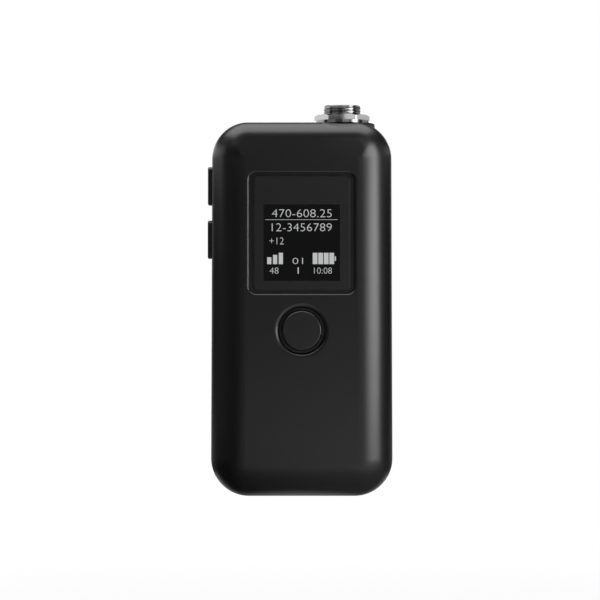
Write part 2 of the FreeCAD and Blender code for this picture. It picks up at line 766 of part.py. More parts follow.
def rear_case():
    body = new_body("rear_case")
    case_form(body)
    socket_seat(body)
    keep_between(body, "half", rear_face, None)
    cavity = cut(body, "cavity", "XZ_Plane", parting - beyond, inner_back, case_outline(d.wall))
    rounded(body, "soft_cavity", cavity, edges_in_plane(cavity, "y", inner_back), d.rear_inner_round)

    # Battery bay: a floor and four walls that stand on the back of the shell.
    bay_bottom = d.bay_low - d.bay_end_wall
    add(body, "bay_block", "XZ_Plane", bay_front, inner_back + d.wall / 3,
        rectangle(-bay_outer_half, bay_outer_half, bay_bottom, bay_high + d.bay_end_wall,
                  low_corner=d.bay_corner + d.bay_wall))
    cut(body, "bay", "XZ_Plane", bay_floor_top, back + beyond,
        rectangle(-bay_half_width, bay_half_width, d.bay_low, bay_high, low_corner=d.bay_corner))

    # Door opening, the grooves that its tongues run in, and the notch for its bottom lip.
    opening = door_half_width + d.door_clearance
    cut(body, "door_opening", "XZ_Plane", inner_back, back + beyond,
        rectangle(-opening, opening, -beyond, door_top + d.door_clearance))
    cut(body, "rail_grooves", "XZ_Plane", inner_back, rail_back + d.door_clearance,
        rectangle(-groove_half, groove_half, -beyond, bay_high))
    cut(body, "lip_notch", "XZ_Plane", parting - beyond, back + beyond,
        rectangle(-opening, opening, -beyond, bay_bottom))

    # Screws: two above the door, two in the floor of the bay, and two posts for the clip.
    add(body, "upper_posts", "XZ_Plane", rear_face, inner_back + d.wall / 3,
        circles(upper_posts, d.post_radius))
    add(body, "clip_posts", "XZ_Plane", inner_back - d.small_bite, inner_back + d.wall / 3,
        circles(clip_screws, d.board_post_radius))
    cut(body, "upper_holes", "XZ_Plane", parting - beyond, back + beyond,
        circles(upper_posts, d.screw_radius + d.screw_clearance))
    cut(body, "upper_sinks", "XZ_Plane", upper_screw_seat, back + beyond,
        circles(upper_posts, d.screw_head_radius + d.screw_clearance))
    cut(body, "lower_holes", "XZ_Plane", bay_front - beyond, bay_floor_top + beyond,
        circles(lower_posts, d.screw_radius + d.screw_clearance))
    cut(body, "lower_sinks", "XZ_Plane", lower_screw_seat, bay_floor_top + beyond,
        circles(lower_posts, d.screw_head_radius + d.screw_clearance))
    cut(body, "clip_pilots", "XZ_Plane", back - d.small_bite - d.wall / 2, back + beyond,
        circles(clip_screws, d.small_screw_radius))
    return body


def battery_door():
    body = new_body("battery_door")
    case_form(body)
    wide = d.case_width
    cut(body, "sides", "XZ_Plane", front - beyond, back + beyond,
        both(rectangle(-wide, wide, -wide, d.case_height + wide),
             rectangle(-door_half_width, door_half_width, -wide / 2, door_top)))
    lip_front = parting + d.door_clearance
    cut(body, "inside", "YZ_Plane", -d.case_width, d.case_width,
        outline((front - beyond, -beyond), (lip_front, -beyond), (lip_front, d.lip_height),
                (door_inner, d.lip_height), (door_inner, d.case_height),
                (front - beyond, d.case_height)))
    tongue_low = d.base_corner
    tongue_high = bay_high - d.door_clearance
    inner_edge = door_half_width - d.rail_width
    outer_edge = door_half_width + d.rail_width
    add(body, "tongues", "XZ_Plane", door_inner, rail_back,
        both(*[rectangle(low, high, tongue_low, tongue_high)
               for low, high in ((-outer_edge, -inner_edge), (inner_edge, outer_edge))]))
    groove = cut(body, "grip", "XZ_Plane", back - d.grip_depth, back + beyond,
                 rectangle(-d.grip_width / 2, d.grip_width / 2,
                           d.base_corner, d.base_corner + d.grip_pitch / 2, d.grip_pitch / 5))
    pattern = body.newObject("PartDesign::LinearPattern", "grip_rows")
    pattern.Originals = [groove]
    pattern.Direction = (groove.Profile[0], ["V_Axis"])
    pattern.Mode = "Extent"
    bind(pattern, "Length", d.grip_pitch * (d.grip_count - 1))
    bind(pattern, "Occurrences", d.grip_count)
    body.Tip = pattern
    return body


def door_pad():
    body = new_body("door_pad")
    half = bay_half_width - d.bay_corner
    add(body, "foam", "XZ_Plane", door_inner - d.pad_thickness, door_inner,
        rectangle(-half, half, d.bay_low + d.bay_corner, bay_high - d.bay_corner, d.lens_corner))
    return body


# ---------------------------------------------------------------- display

def display_lens():
    body = new_body("display_lens")
    half = d.window_half_width - d.lens_side_gap
    low, high = window_low + d.lens_end_gap, window_high - d.lens_end_gap
    plate = add(body, "plate", "XZ_Plane", lens_floor - d.lens_thickness, lens_floor,
                rectangle(-half, half, low, high, d.lens_corner))
    rim = edges_in_plane(plate, "y", lens_floor - d.lens_thickness)
    bevelled(body, "bevel", plate, rim, d.lens_bevel)
    return body


def display_outline():
    return rectangle(-glass_half_width, glass_half_width, glass_low, glass_high)


def display_gasket():
    body = new_body("display_gasket")
    add(body, "frame", "XZ_Plane", inner_front, glass_front,
        both(display_outline(), rectangle(-d.sight_half_width, d.sight_half_width, sight_low,
                                          sight_high, d.sight_corner)))
    return body


def display_module():
    body = new_body("display_module")
    add(body, "rear_glass", "XZ_Plane", glass_front + d.glass_thickness / 2, glass_back, display_outline())
    add(body, "front_glass", "XZ_Plane", glass_front, glass_front + d.glass_thickness / 2,
        rectangle(-glass_half_width, glass_half_width, glass_low + d.holder_wall * 2, glass_high))
    return body


def display_holder():
    body = new_body("display_holder")
    half = glass_half_width
    add(body, "frame", "XZ_Plane", glass_back, board_front,
        both(display_outline(),
             rectangle(-half + d.holder_wall, half - d.holder_wall, glass_low + d.holder_wall,
                       glass_high - d.holder_wall, d.sight_corner)))
    return body


# ---------------------------------------------------------------- buttons

button_rest = d.wall + d.seal_thickness + d.seal_clearance
round_stem_end = button_rest + d.flange_thickness + d.stem_radius
round_switch_top = front + round_stem_end + d.button_travel + d.plunger_gap


def front_button():
    body = new_body("front_button")
    flange_radius = d.button_radius + d.button_clearance + d.button_flange
    turned(body, "cap", outline(
        (0, -round_stem_end), (d.stem_radius, -round_stem_end),
        (d.stem_radius, -button_rest - d.flange_thickness),
        (flange_radius, -button_rest - d.flange_thickness),
        (flange_radius, -button_rest), (d.button_radius, -button_rest),
        (d.button_radius, d.button_proud - d.button_edge),
        (d.button_radius - d.button_edge, d.button_proud, d.button_edge), (0, d.button_proud)))
    place(body, 0, front, button_height, FACING_FRONT)
    return body


def front_button_seal():
    body = new_body("front_button_seal")
    inner = d.button_radius + d.seal_clearance
    outer = d.button_radius + d.button_clearance + d.button_flange + d.dish_lip
    turned(body, "ring", outline(
        (inner, -d.wall - d.seal_thickness), (outer, -d.wall - d.seal_thickness), (outer, -d.wall),
        (inner, -d.wall)))
    place(body, 0, front, button_height, FACING_FRONT)
    return body


def front_switch():
    body = new_body("front_switch")
    half = d.switch_size / 2
    height = board_front - round_switch_top - d.plunger_height
    add(body, "case", "XY_Plane", 0, height, rectangle(-half, half, -half, half, half / 8))
    add(body, "plunger", "XY_Plane", height, height + d.plunger_height, circle(0, 0, d.stem_radius))
    place(body, 0, board_front, button_height, FACING_FRONT)
    return body


def side_button(name, height):
    """A side button, with its stem towards its switch. Its Z axis points out of the case."""
    body = new_body(name)
    half_long, half_wide = d.key_length / 2, d.key_width / 2
    reach = case_half_width(height) + d.key_proud
    cap = add(body, "cap", "XY_Plane", key_rest - d.flange_thickness / 2, reach,
              rectangle(-half_long, half_long, -half_wide, half_wide, d.key_corner))
    rounded(body, "soft_edge", cap, edges_in_plane(cap, "z", reach), d.key_edge)
    flange = d.key_flange
    add(body, "flange", "XY_Plane", key_rest - d.flange_thickness, key_rest,
        rectangle(-half_long - flange, half_long + flange, -half_wide - flange, half_wide + flange,
                  d.key_corner))
    place(body, 0, d.key_setback, height, FACING_LEFT)
    return body


def side_button_seal(name, height):
    body = new_body(name)
    inner_long, inner_wide = d.key_length / 2 + d.seal_clearance, d.key_width / 2 + d.seal_clearance
    outer_long, outer_wide = inner_long + d.key_flange, inner_wide + d.key_flange
    add(body, "ring", "XY_Plane", key_back - d.seal_thickness, key_back,
        both(rectangle(-outer_long, outer_long, -outer_wide, outer_wide, d.key_corner),
             rectangle(-inner_long, inner_long, -inner_wide, inner_wide, d.key_corner)))
    place(body, 0, d.key_setback, height, FACING_LEFT)
    return body


def side_switch(name, height):
    body = new_body(name)
    half = d.side_switch / 2
    add(body, "case", "XY_Plane", side_board_face, side_board_face + d.side_switch_height,
        rectangle(-half, half, -half, half, half / 8))
    add(body, "plunger", "XY_Plane", side_board_face + d.side_switch_height, switch_top,
        circle(0, 0, d.key_stem_radius))
    place(body, 0, d.key_setback, height, FACING_LEFT)
    return body


def side_button_board():
    body = new_body("side_button_board")
    half = d.key_setback - side_board_front
    add(body, "board", "YZ_Plane", -side_board_face, -side_board_back,
        rectangle(side_board_front, d.key_setback + half, side_board_low, side_board_high,
                  d.side_board_thickness))
    return body


# ---------------------------------------------------------------- input socket

def socket_shell():
    """The turned barrel with its flange, on the socket's axis with the seat at zero."""
    body = new_body("socket_shell")
    mouth_end = d.barrel_height - d.mouth_length
    groove_end = mouth_end - d.latch_length
    groove_radius = d.mouth_radius + d.latch_depth
    flange_top = -d.socket_roof - d.seal_thickness
    flange_low = flange_top - d.socket_flange
    tail_end = flange_low - d.tail_length
    turned(body, "barrel", outline(
        (d.mouth_radius, tail_end), (d.tail_radius, tail_end), (d.tail_radius, flange_low),
        (d.flange_radius, flange_low), (d.flange_radius, flange_top), (d.barrel_radius, flange_top),
        (d.barrel_radius, d.barrel_height - d.barrel_bevel),
        (d.barrel_radius - d.barrel_bevel, d.barrel_height), (d.mouth_radius, d.barrel_height),
        (d.mouth_radius, mouth_end), (groove_radius, mouth_end), (groove_radius, groove_end),
        (d.mouth_radius, groove_end)))
    cut(body, "keyway", "XY_Plane", -d.insert_depth, d.barrel_height + beyond,
        rectangle(-d.keyway_width / 2, d.keyway_width / 2, -d.mouth_radius - d.latch_depth, 0))
    place(body, socket_side, 0, d.case_height)
    return body


def socket_insert():
    body = new_body("socket_insert")
    radius = d.mouth_radius - d.insert_clearance
    turned(body, "disc", outline(
        (0, -d.insert_depth - d.insert_length), (radius, -d.insert_depth - d.insert_length),
        (radius, -d.insert_depth), (0, -d.insert_depth)))
    cut(body, "contact_holes", "XY_Plane", -d.insert_depth - d.insert_length - beyond, beyond,
        circles(contact_places(), d.contact_radius + d.insert_clearance))
    place(body, socket_side, 0, d.case_height)
    return body


def contact_places():
    """Four contacts on the corners of a square, as a four-pole socket has them."""
    corner = d.contact_circle * as_size(0.5).root()
    return [(-corner, -corner), (corner, -corner), (corner, corner), (-corner, corner)]


def contact_pins():
    pins = []
    low = -d.insert_depth - d.insert_length - d.contact_tail
    for number, (x, y) in enumerate(contact_places(), start=1):
        body = new_body(f"contact_pin_{number}")
        tip = d.contact_radius / 2
        turned(body, "pin", outline(
            (0, low), (d.contact_radius, low), (d.contact_radius, d.contact_tip - tip),
            (d.contact_radius - tip, d.contact_tip, tip), (0, d.contact_tip)))
        place(body, socket_side + x, y, d.case_height)
        pins.append(body)
    return gathered("contact_pins", pins)


def lock_washer():
    body = new_body("lock_washer")
    add(body, "ring", "XY_Plane", 0, d.washer_thickness,
        both(circle(0, 0, d.washer_radius), circle(0, 0, d.barrel_radius + d.thread_clearance)))
    place(body, socket_side, 0, d.case_height)
    return body


def hex_nut():
    """A thin nut whose corners are turned round and bevelled on top."""
    body = new_body("hex_nut")
    low, high = d.washer_thickness, d.washer_thickness + d.nut_thickness
    turned(body, "turned_blank", outline(
        (d.barrel_radius + d.thread_clearance, low), (d.nut_turned, low),
        (d.nut_turned, high - d.nut_bevel), (d.nut_turned - d.nut_bevel * 2, high),
        (d.barrel_radius + d.thread_clearance, high)))
    reach = d.nut_flats
    corner = d.nut_flats / as_size(3).root()
    flats = [(corner, 0), (corner / 2, d.nut_flats / 2), (-corner / 2, d.nut_flats / 2),
             (-corner, 0), (-corner / 2, -d.nut_flats / 2), (corner / 2, -d.nut_flats / 2)]
    cut(body, "flats", "XY_Plane", low - beyond, high + beyond, both(circle(0, 0, reach), outline(*flats)))
    place(body, socket_side, 0, d.case_height)
    return body


def socket_seal():
    """Flat rubber ring between the flange and the roof of its chamber."""
    body = new_body("socket_seal")
    add(body, "ring", "XY_Plane", -d.socket_roof - d.seal_thickness, -d.socket_roof,
        both(circle(0, 0, d.flange_radius), circle(0, 0, d.barrel_radius + d.thread_clearance)))
    place(body, socket_side, 0, d.case_height)
    return body


# ---------------------------------------------------------------- electronics

def main_board():
    body = new_body("main_board")
    add(body, "board", "XZ_Plane", board_front, board_back,
        outline((board_right, d.board_low), (board_right, board_shoulder),
                (board_neck, board_shoulder), (board_neck, board_high),
                (board_left, board_high), (board_left, d.board_low)))
    cut(body, "screw_holes", "XZ_Plane", board_front - beyond, board_back + beyond,
        circles(board_screws, d.small_screw_radius + d.screw_clearance))
    cut(body, "lower_post_notches", "XZ_Plane", board_front - beyond, board_back + beyond,
        circles(lower_posts, d.post_radius + d.screw_clearance))
    return body


def board_chips():
    """Main parts on the back of the board: processor, converter, power coil and connectors.

    A row gives a name, the steps in from the board's left edge, the steps down from the
    shield's foot to the part's own foot, its width, its height and its thickness."""
    chips = []
    rows = [("processor", 6, 14, 9, 9, 1), ("converter", 16.5, 13, 6, 6, 0.9),
            ("power_coil", 26, 13, 5, 5, 2), ("memory", 6, 26, 8, 6, 1),
            ("charger", 17, 27, 4, 4, 0.8), ("battery_plug", 26.5, 25, 5, 6, 2.2)]
    for name, *steps in rows:
        across, down, wide, tall, thick = [d.chip_grid * step for step in steps]
        body = new_body(name)
        left, low = board_left + across, shield_low - down
        add(body, "block", "XZ_Plane", board_back, board_back + thick,
            rectangle(left, left + wide, low, low + tall))
        chips.append(body)
    return gathered("board_chips", chips)


shield_left = board_left + d.board_screw_inset * 2


def rf_shield():
    """Pressed can over the radio part of the board."""
    body = new_body("rf_shield")
    left, right = shield_left, board_neck - d.board_screw_inset
    low, high = shield_low, board_high - d.board_screw_inset * 2
    can = add(body, "can", "XZ_Plane", board_back, board_back + d.shield_height,
              rectangle(left, right, low, high, d.shield_wall * 3))
    rounded(body, "pressed_edge", can, edges_in_plane(can, "y", board_back + d.shield_height),
            d.shield_wall)
    inset = d.shield_wall
    cut(body, "inside", "XZ_Plane", board_back - beyond, board_back + d.shield_height - d.shield_wall,
        rectangle(left + inset, right - inset, low + inset, high - inset, d.shield_wall * 2))
    return body


def antenna():
    """Folded sheet antenna that stands on the top edge of the board."""
    body = new_body("antenna")
    left = board_left + d.board_screw_inset * 2
    right = board_neck - d.antenna_thickness
    foot = board_high - d.board_screw_inset
    roof = d.case_height - d.wall - d.antenna_thickness
    strip = (roof - board_high) / 4
    gap = board_high + strip
    add(body, "strip", "XZ_Plane", board_back, board_back + d.antenna_thickness,
        outline((left, foot), (left + strip, foot), (left + strip, gap + strip * 2),
                (right - strip, gap + strip * 2), (right - strip, gap + strip),
                (left + strip * 3, gap + strip), (left + strip * 3, foot), (left + strip * 4, foot),
                (left + strip * 4, gap), (right, gap), (right, roof), (left, roof)))
    return body


# ---------------------------------------------------------------- battery

battery_back = door_inner - d.pad_thickness - d.seal_clearance


def battery_pack():
    body = new_body("battery_pack")
    half = bay_half_width - d.battery_clearance
    low = d.bay_low + d.battery_clearance
    block = add(body, "block", "XZ_Plane", bay_floor_top, battery_back,
                rectangle(-half, half, low, battery_high,
                          low_corner=d.bay_corner - d.battery_clearance))
    rounded(body, "soft_edge", block, edges_in_plane(block, "y", battery_back), d.battery_edge)
    return body


def battery_contacts():
    """Contact block on the upper wall of the bay, with three blades against the battery."""
    body = new_body("battery_contacts")
    middle = (bay_floor_top + battery_back) / 2
    block_low = (battery_high + bay_high) / 2
    deep = d.contact_blade * 1.5
    add(body, "block", "XZ_Plane", middle - deep, middle + deep,
        rectangle(-d.charge_side - deep, d.charge_side + deep, block_low, bay_high))
    half = d.contact_blade / 2
    add(body, "blades", "XZ_Plane", middle - half, middle + half,
        both(*[rectangle(place * d.charge_side - half, place * d.charge_side + half, battery_high, block_low)
               for place in (-1, 0, 1)]))
    return body


def charge_contacts():
    contacts = []
    for number, (x, y) in enumerate(charge_places, start=1):
        body = new_body(f"charge_contact_{number}")
        edge = d.charge_recess
        turned(body, "pad", outline(
            (0, edge), (d.charge_radius - edge, edge), (d.charge_radius, edge * 2, edge),
            (d.charge_radius, d.wall + edge), (0, d.wall + edge)))
        place(body, x, y, 0)
        contacts.append(body)
    return gathered("charge_contacts", contacts)


# ---------------------------------------------------------------- fasteners

def screw(name, head_radius, head_height, shank_radius, shank_length):
    """A pan head screw with its seat at zero and its head towards +Z."""
    body = new_body(name)
    socket = shank_radius * 0.9
    edge = head_height / 2
    turned(body, "screw", outline(
        (0, -shank_length), (shank_radius / 2, -shank_length), (shank_radius, -shank_length + shank_radius),
        (shank_radius, 0), (head_radius, 0), (head_radius, head_height - edge),
        (head_radius - edge, head_height, edge), (0, head_height)))
    corner = socket / 2
    rise = socket * as_size(0.75).root()
    cut(body, "drive", "XY_Plane", head_height / 2, head_height + beyond,
        outline((socket, 0), (corner, rise), (-corner, rise), (-socket, 0), (-corner, -rise),
                (corner, -rise)))
    return body


def screws(name, places, seat, head_radius, head_height, shank_radius, shank_length):
    pieces = []
    for number, (x, z) in enumerate(places, start=1):
        body = screw(f"{name}_{number}", head_radius, head_height, shank_radius, shank_length)
        place(body, x, seat, z, FACING_BACK)
        pieces.append(body)
    return gathered(name, pieces)


def upper_case_screws():
    length = upper_screw_seat - parting + d.screw_bite - d.screw_clearance
    return screws("upper_case_screws", upper_posts, upper_screw_seat, d.screw_head_radius,
                  d.screw_head_height, d.screw_radius, length)


def lower_case_screws():
    length = lower_screw_seat - bay_front + d.screw_bite - d.screw_clearance
    return screws("lower_case_screws", lower_posts, lower_screw_seat, d.screw_head_radius,
                  d.screw_head_height, d.screw_radius, length)


def board_screw_set():
    length = d.board_thickness + d.small_bite - d.screw_clearance
    return screws("board_screws", board_screws, board_back, d.small_head_radius, d.small_head_height,
                  d.small_screw_radius, length)


def clip_screw_set():
    length = d.bracket_thickness + d.small_bite
    return screws("clip_screws", clip_screws, back + d.bracket_thickness, d.small_head_radius,
                  d.small_head_height, d.small_screw_radius, length)


# ---------------------------------------------------------------- belt clip

pin_back = back + d.pin_standoff
clip_face = back + d.clip_gap
ear_outer = d.bracket_half_width
ear_inner = ear_outer - d.ear_thickness
knuckle_outer = ear_inner - d.knuckle_gap
knuckle_inner = knuckle_outer - d.knuckle_width


def clip_bracket():
    """Base plate on the back of the case with two ears that carry the clip's pin."""
    body = new_body("clip_bracket")
    base = back + d.bracket_thickness
    add(body, "base", "XZ_Plane", back, base,
        rectangle(-d.bracket_half_width, d.bracket_half_width, bracket_low, bracket_high,
                  d.bracket_corner))
    foot = d.ear_radius * 1.6
    for name, low, high in (("left_ear", -ear_outer, -ear_inner), ("right_ear", ear_inner, ear_outer)):
        add(body, name, "YZ_Plane", low, high,
            outline((pin_back, pin_height - d.ear_radius),
                    (pin_back + d.ear_radius, pin_height, d.ear_radius),
                    (pin_back, pin_height + d.ear_radius, d.ear_radius),
                    (base, pin_height + foot), (base - d.bracket_thickness / 2, pin_height + foot),
                    (base - d.bracket_thickness / 2, pin_height - foot), (base, pin_height - foot)))
    cut(body, "pin_hole", "YZ_Plane", -ear_outer - beyond, ear_outer + beyond,
        circle(pin_back, pin_height, d.pin_radius + d.pin_clearance / 4))
    cut(body, "screw_holes", "XZ_Plane", back - beyond, base + beyond,
        circles(clip_screws, d.small_screw_radius + d.screw_clearance))
    return body


def clip_pin():
    body = new_body("clip_pin")
    end = ear_outer + d.knuckle_gap / 2
    turned(body, "pin", outline(
        (0, -end - d.pin_head_height), (d.pin_head_radius, -end - d.pin_head_height),
        (d.pin_head_radius, -end), (d.pin_radius, -end), (d.pin_radius, end), (d.pin_head_radius, end),
        (d.pin_head_radius, end + d.pin_head_height), (0, end + d.pin_head_height)))
    place(body, 0, pin_back, pin_height, FACING_LEFT)
    return body


def belt_clip():
    """Bent sheet with a thumb tab above the pin and a nose that bears on the belt."""
    body = new_body("belt_clip")
    sheet_thickness = d.clip_thickness
    inside, outside = clip_face, clip_face + sheet_thickness
    nose = back + d.nose_gap
    tip = nose + d.tip_flare
    nose_outside, bend_outside = nose + sheet_thickness * 1.3, clip_bend - sheet_thickness / 2
    sheet = add(body, "sheet", "YZ_Plane", -d.clip_half_width, d.clip_half_width,
                outline((inside, clip_top), (inside, clip_bend), (nose, clip_nose), (tip, clip_tip),
                        (tip + sheet_thickness, clip_tip), (nose_outside, clip_nose),
                        (outside, bend_outside), (outside, clip_top)))
    tight = rounded(body, "tight_bends", sheet,
                    edges_across(sheet, [(inside, clip_bend), (nose_outside, clip_nose)]), d.bend_radius)
    rounded(body, "wide_bends", tight, edges_across(tight, [(outside, bend_outside), (nose, clip_nose)]),
            d.bend_radius + sheet_thickness)
    wide = d.case_width
    tall = d.case_height * 1.5
    cut(body, "corners", "XZ_Plane", back - beyond, outside + beyond,
        both(rectangle(-wide, wide, as_size(0) - wide, tall),
             rectangle(-d.clip_half_width, d.clip_half_width, clip_tip, clip_top, d.clip_corner)))
    doc.recompute()
    sides = [name for side in (-1, 1)
             for name in edges_in_plane(body.Tip, "x", d.clip_half_width * side)
             if body.Tip.Shape.getElement(name).Length > d.clip_thickness.value * 1.5]
    rounded(body, "soft_edges", body.Tip, sides, d.clip_edge)
    knuckle_radius = outside - pin_back
    for name, low, high in (("left_knuckle", -knuckle_outer, -knuckle_inner),
                            ("right_knuckle", knuckle_inner, knuckle_outer)):
        add(body, name, "YZ_Plane", low, high,
            outline((outside, pin_height - knuckle_radius),
                    (outside, pin_height + knuckle_radius), (pin_back, pin_height + knuckle_radius),
                    (pin_back - knuckle_radius, pin_height, knuckle_radius),
                    (pin_back, pin_height - knuckle_radius, knuckle_radius)))
    ear_clear = d.ear_radius + d.knuckle_gap
    slots = [rectangle(low, high, pin_height - ear_clear * 1.2, pin_height + ear_clear * 1.2,
                       d.knuckle_gap)
             for low, high in ((-ear_outer - d.knuckle_gap * 4, -knuckle_outer),
                               (knuckle_outer, ear_outer + d.knuckle_gap * 4),
                               (-knuckle_inner, knuckle_inner))]
    cut(body, "windows", "XZ_Plane", back, outside + beyond, both(*slots))
    cut(body, "pin_hole", "YZ_Plane", -d.clip_half_width - beyond, d.clip_half_width + beyond,
        circle(pin_back, pin_height, d.pin_radius + d.pin_clearance))
    return body


def clip_spring():
    """Torsion spring round the pin. One leg bears on the bracket and the other on the clip."""
    body = new_body("clip_spring")
    half = d.spring_pitch * d.spring_turns / 2
    sketch = sketch_on(body, "wire_section", "XZ_Plane", 0)
    circle(d.spring_radius, -half, d.spring_wire)(sketch)
    coil = body.newObject("PartDesign::AdditiveHelix", "coil")
    coil.Profile = sketch
    coil.ReferenceAxis = (sketch, ["V_Axis"])
    coil.Mode = "pitch-turns-angle"
    bind(coil, "Pitch", d.spring_pitch)
    bind(coil, "Turns", d.spring_turns)
    place(body, 0, pin_back, pin_height, FACING_LEFT)
    return body


# ---------------------------------------------------------------- the whole transmitter

nodes = [
    front_case(), rear_case(), battery_door(), door_pad(),
    display_lens(), display_gasket(), display_module(), display_holder(),
    front_button(), front_button_seal(), front_switch(), side_button_board(),
    socket_shell(), socket_insert(), contact_pins(), lock_washer(), hex_nut(), socket_seal(),
    main_board(), board_chips(), rf_shield(), antenna(),
    battery_pack(), battery_contacts(), charge_contacts(),
    upper_case_screws(), lower_case_screws(), board_screw_set(), clip_screw_set(),
    clip_bracket(), clip_pin(), belt_clip(), clip_spring(),
]
for key, height in keys:
    nodes.append(side_button(f"{key}_side_button", height))
    nodes.append(side_button_seal(f"{key}_side_button_seal", height))
    nodes.append(side_switch(f"{key}_side_switch", height))

doc.recompute()

for thing in doc.Objects:
    if "Invalid" in thing.State or "Error" in thing.State:
        raise RuntimeError(f"{thing.Label} did not build: {thing.State}")

os.makedirs("parts", exist_ok=True)
for node in nodes:
    shape = node.Shape
    if shape.isNull() or not shape.isValid() or not shape.Solids:
        raise RuntimeError(f"{node.Label} has no valid solid")
    shape.exportStep(os.path.join("parts", f"{node.Label}.step"))
    print(f"{node.Label}: {len(shape.Solids)} solid(s), {shape.Volume:.1f} mm3")
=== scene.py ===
"""Looks of the wireless bodypack transmitter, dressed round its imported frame. Metres, +Z up."""
import bpy
import math
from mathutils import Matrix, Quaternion, Vector


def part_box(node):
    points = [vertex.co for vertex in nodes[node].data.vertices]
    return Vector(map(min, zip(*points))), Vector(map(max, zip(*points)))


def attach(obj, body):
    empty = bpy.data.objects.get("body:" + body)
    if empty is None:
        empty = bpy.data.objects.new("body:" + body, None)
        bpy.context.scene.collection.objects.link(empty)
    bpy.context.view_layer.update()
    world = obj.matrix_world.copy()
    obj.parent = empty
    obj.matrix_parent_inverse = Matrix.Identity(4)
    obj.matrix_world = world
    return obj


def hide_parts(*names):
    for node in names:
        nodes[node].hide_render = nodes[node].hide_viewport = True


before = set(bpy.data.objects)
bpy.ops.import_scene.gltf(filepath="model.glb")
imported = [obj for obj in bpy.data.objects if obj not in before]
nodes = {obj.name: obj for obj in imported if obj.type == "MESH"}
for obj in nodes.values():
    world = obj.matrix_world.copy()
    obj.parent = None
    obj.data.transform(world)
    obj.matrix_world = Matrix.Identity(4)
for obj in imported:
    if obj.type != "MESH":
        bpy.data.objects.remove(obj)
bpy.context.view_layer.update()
MM = 0.001

lens_low, lens_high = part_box("display_lens")
nut_low, nut_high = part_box("hex_nut")
washer_low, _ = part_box("lock_washer")
shell_low, shell_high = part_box("socket_shell")
socket_axis = (nut_low + nut_high) / 2
case_roof = 3.0 * MM  # between the washer and the socket's flange
round_steps = 96  # flats round a turned piece

screen_side = 20.25 * MM
screen_drop = 7.72 * MM  # from the window's upper edge
screen_points = 128  # light points along a side
light_point = screen_side / screen_points
film = 0.012 * MM  # thickness of what is lit
screen_middle = Vector((0, lens_low.y, lens_high.z - screen_drop - screen_side / 2))


# ------------------------------------------------------------------ moves of the hand

def deselect():
    """Leave nothing selected, so that the next operator acts on its own piece alone."""
    if bpy.context.object and bpy.context.object.mode != "OBJECT":
        bpy.ops.object.mode_set(mode="OBJECT")
    bpy.ops.object.select_all(action="DESELECT")


def take(piece):
    """Select one piece alone and make it the active one."""
    deselect()
    piece.select_set(True)
    bpy.context.view_layer.objects.active = piece


def named(name):
    """Name the piece that was just made, and its mesh."""
    piece = bpy.context.object
    piece.name = name
    piece.data.name = name
    return piece


def start_edit(kind="FACE"):
    """Go into edit mode, to work on vertices, edges or faces."""
    bpy.ops.object.mode_set(mode="EDIT")
    bpy.ops.mesh.select_mode(type=kind)


def leave_edit():
    """Come back to object mode."""
    bpy.ops.object.mode_set(mode="OBJECT")


def settle(piece):
    """Put a piece's place, turn and size into its mesh."""
    take(piece)
    bpy.ops.object.transform_apply(location=True, rotation=True, scale=True)
    return piece


def finish_with(piece, kind, **values):
    """Add a modifier with these values and apply it."""
    take(piece)
    modifier = piece.modifiers.new(kind.title(), kind)
    for name, value in values.items():
        setattr(modifier, name, value)
    bpy.ops.object.modifier_apply(modifier=modifier.name)


def tidy_mesh(piece, angle=30):
    """Close doubles, point the faces outwards and smooth all edges flatter than the angle."""
    take(piece)
    start_edit()
    bpy.ops.mesh.select_all(action="SELECT")
    bpy.ops.mesh.remove_doubles(threshold=0.002 * MM)
    bpy.ops.mesh.normals_make_consistent(inside=False)
    leave_edit()
    bpy.ops.object.shade_smooth_by_angle(angle=math.radians(angle))


def drawn_profile(name, corners):
    """A bare line through points given as distance from the Z axis and height."""
    deselect()
    bpy.ops.mesh.primitive_plane_add(size=1 * MM, location=(0, 0, 0))
    line = named(name)
    start_edit("VERT")
    bpy.ops.mesh.merge(type="CENTER")
    here = Vector((0, 0, 0))
    for number, (reach, height) in enumerate(corners):
        step = Vector((reach, 0, height)) - here
        if number:
            bpy.ops.mesh.extrude_region_move(TRANSFORM_OT_translate={"value": step})
        else:
            bpy.ops.transform.translate(value=step)
        here += step
    leave_edit()
    return line


def turned(name, corners):
    """A profile turned round the Z axis, as on a lathe."""
    piece = drawn_profile(name, corners)
    start_edit("EDGE")
    bpy.ops.mesh.select_all(action="SELECT")
    bpy.ops.mesh.spin(steps=round_steps, angle=math.tau, center=(0, 0, 0), axis=(0, 0, 1))
    leave_edit()
    tidy_mesh(piece)
    return piece


def join(name, pieces):
    """Make several pieces one mesh, under one name."""
    take(pieces[0])
    for piece in pieces[1:]:
        piece.select_set(True)
    bpy.ops.object.join()
    return named(name)


def dress(piece, material):
    """Give a piece this finish and no other."""
    piece.data.materials.clear()
    piece.data.materials.append(material)


def ride_with(piece, body, material):
    """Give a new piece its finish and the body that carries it."""
    dress(piece, material)
    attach(piece, body)
    return piece


# ------------------------------------------------------------------ finishes

def node(tree, kind, x=0, y=0, **values):
    """Add a shader node at a place in the editor, with these settings."""
    made = tree.nodes.new(kind)
    made.location = (x, y)
    for name, value in values.items():
        setattr(made, name, value)
    return made


def group_with(name, inputs, outputs):
    """A shader group with named inputs and outputs. An input is a name, a kind and a value."""
    tree = bpy.data.node_groups.new(name, "ShaderNodeTree")
    for label, kind, value in inputs:
        made = tree.interface.new_socket(name=label, in_out="INPUT", socket_type=kind)
        if value is not None:
            made.default_value = value
    for label, kind in outputs:
        tree.interface.new_socket(name=label, in_out="OUTPUT", socket_type=kind)
    return tree, node(tree, "NodeGroupInput", -900), node(tree, "NodeGroupOutput", 900)


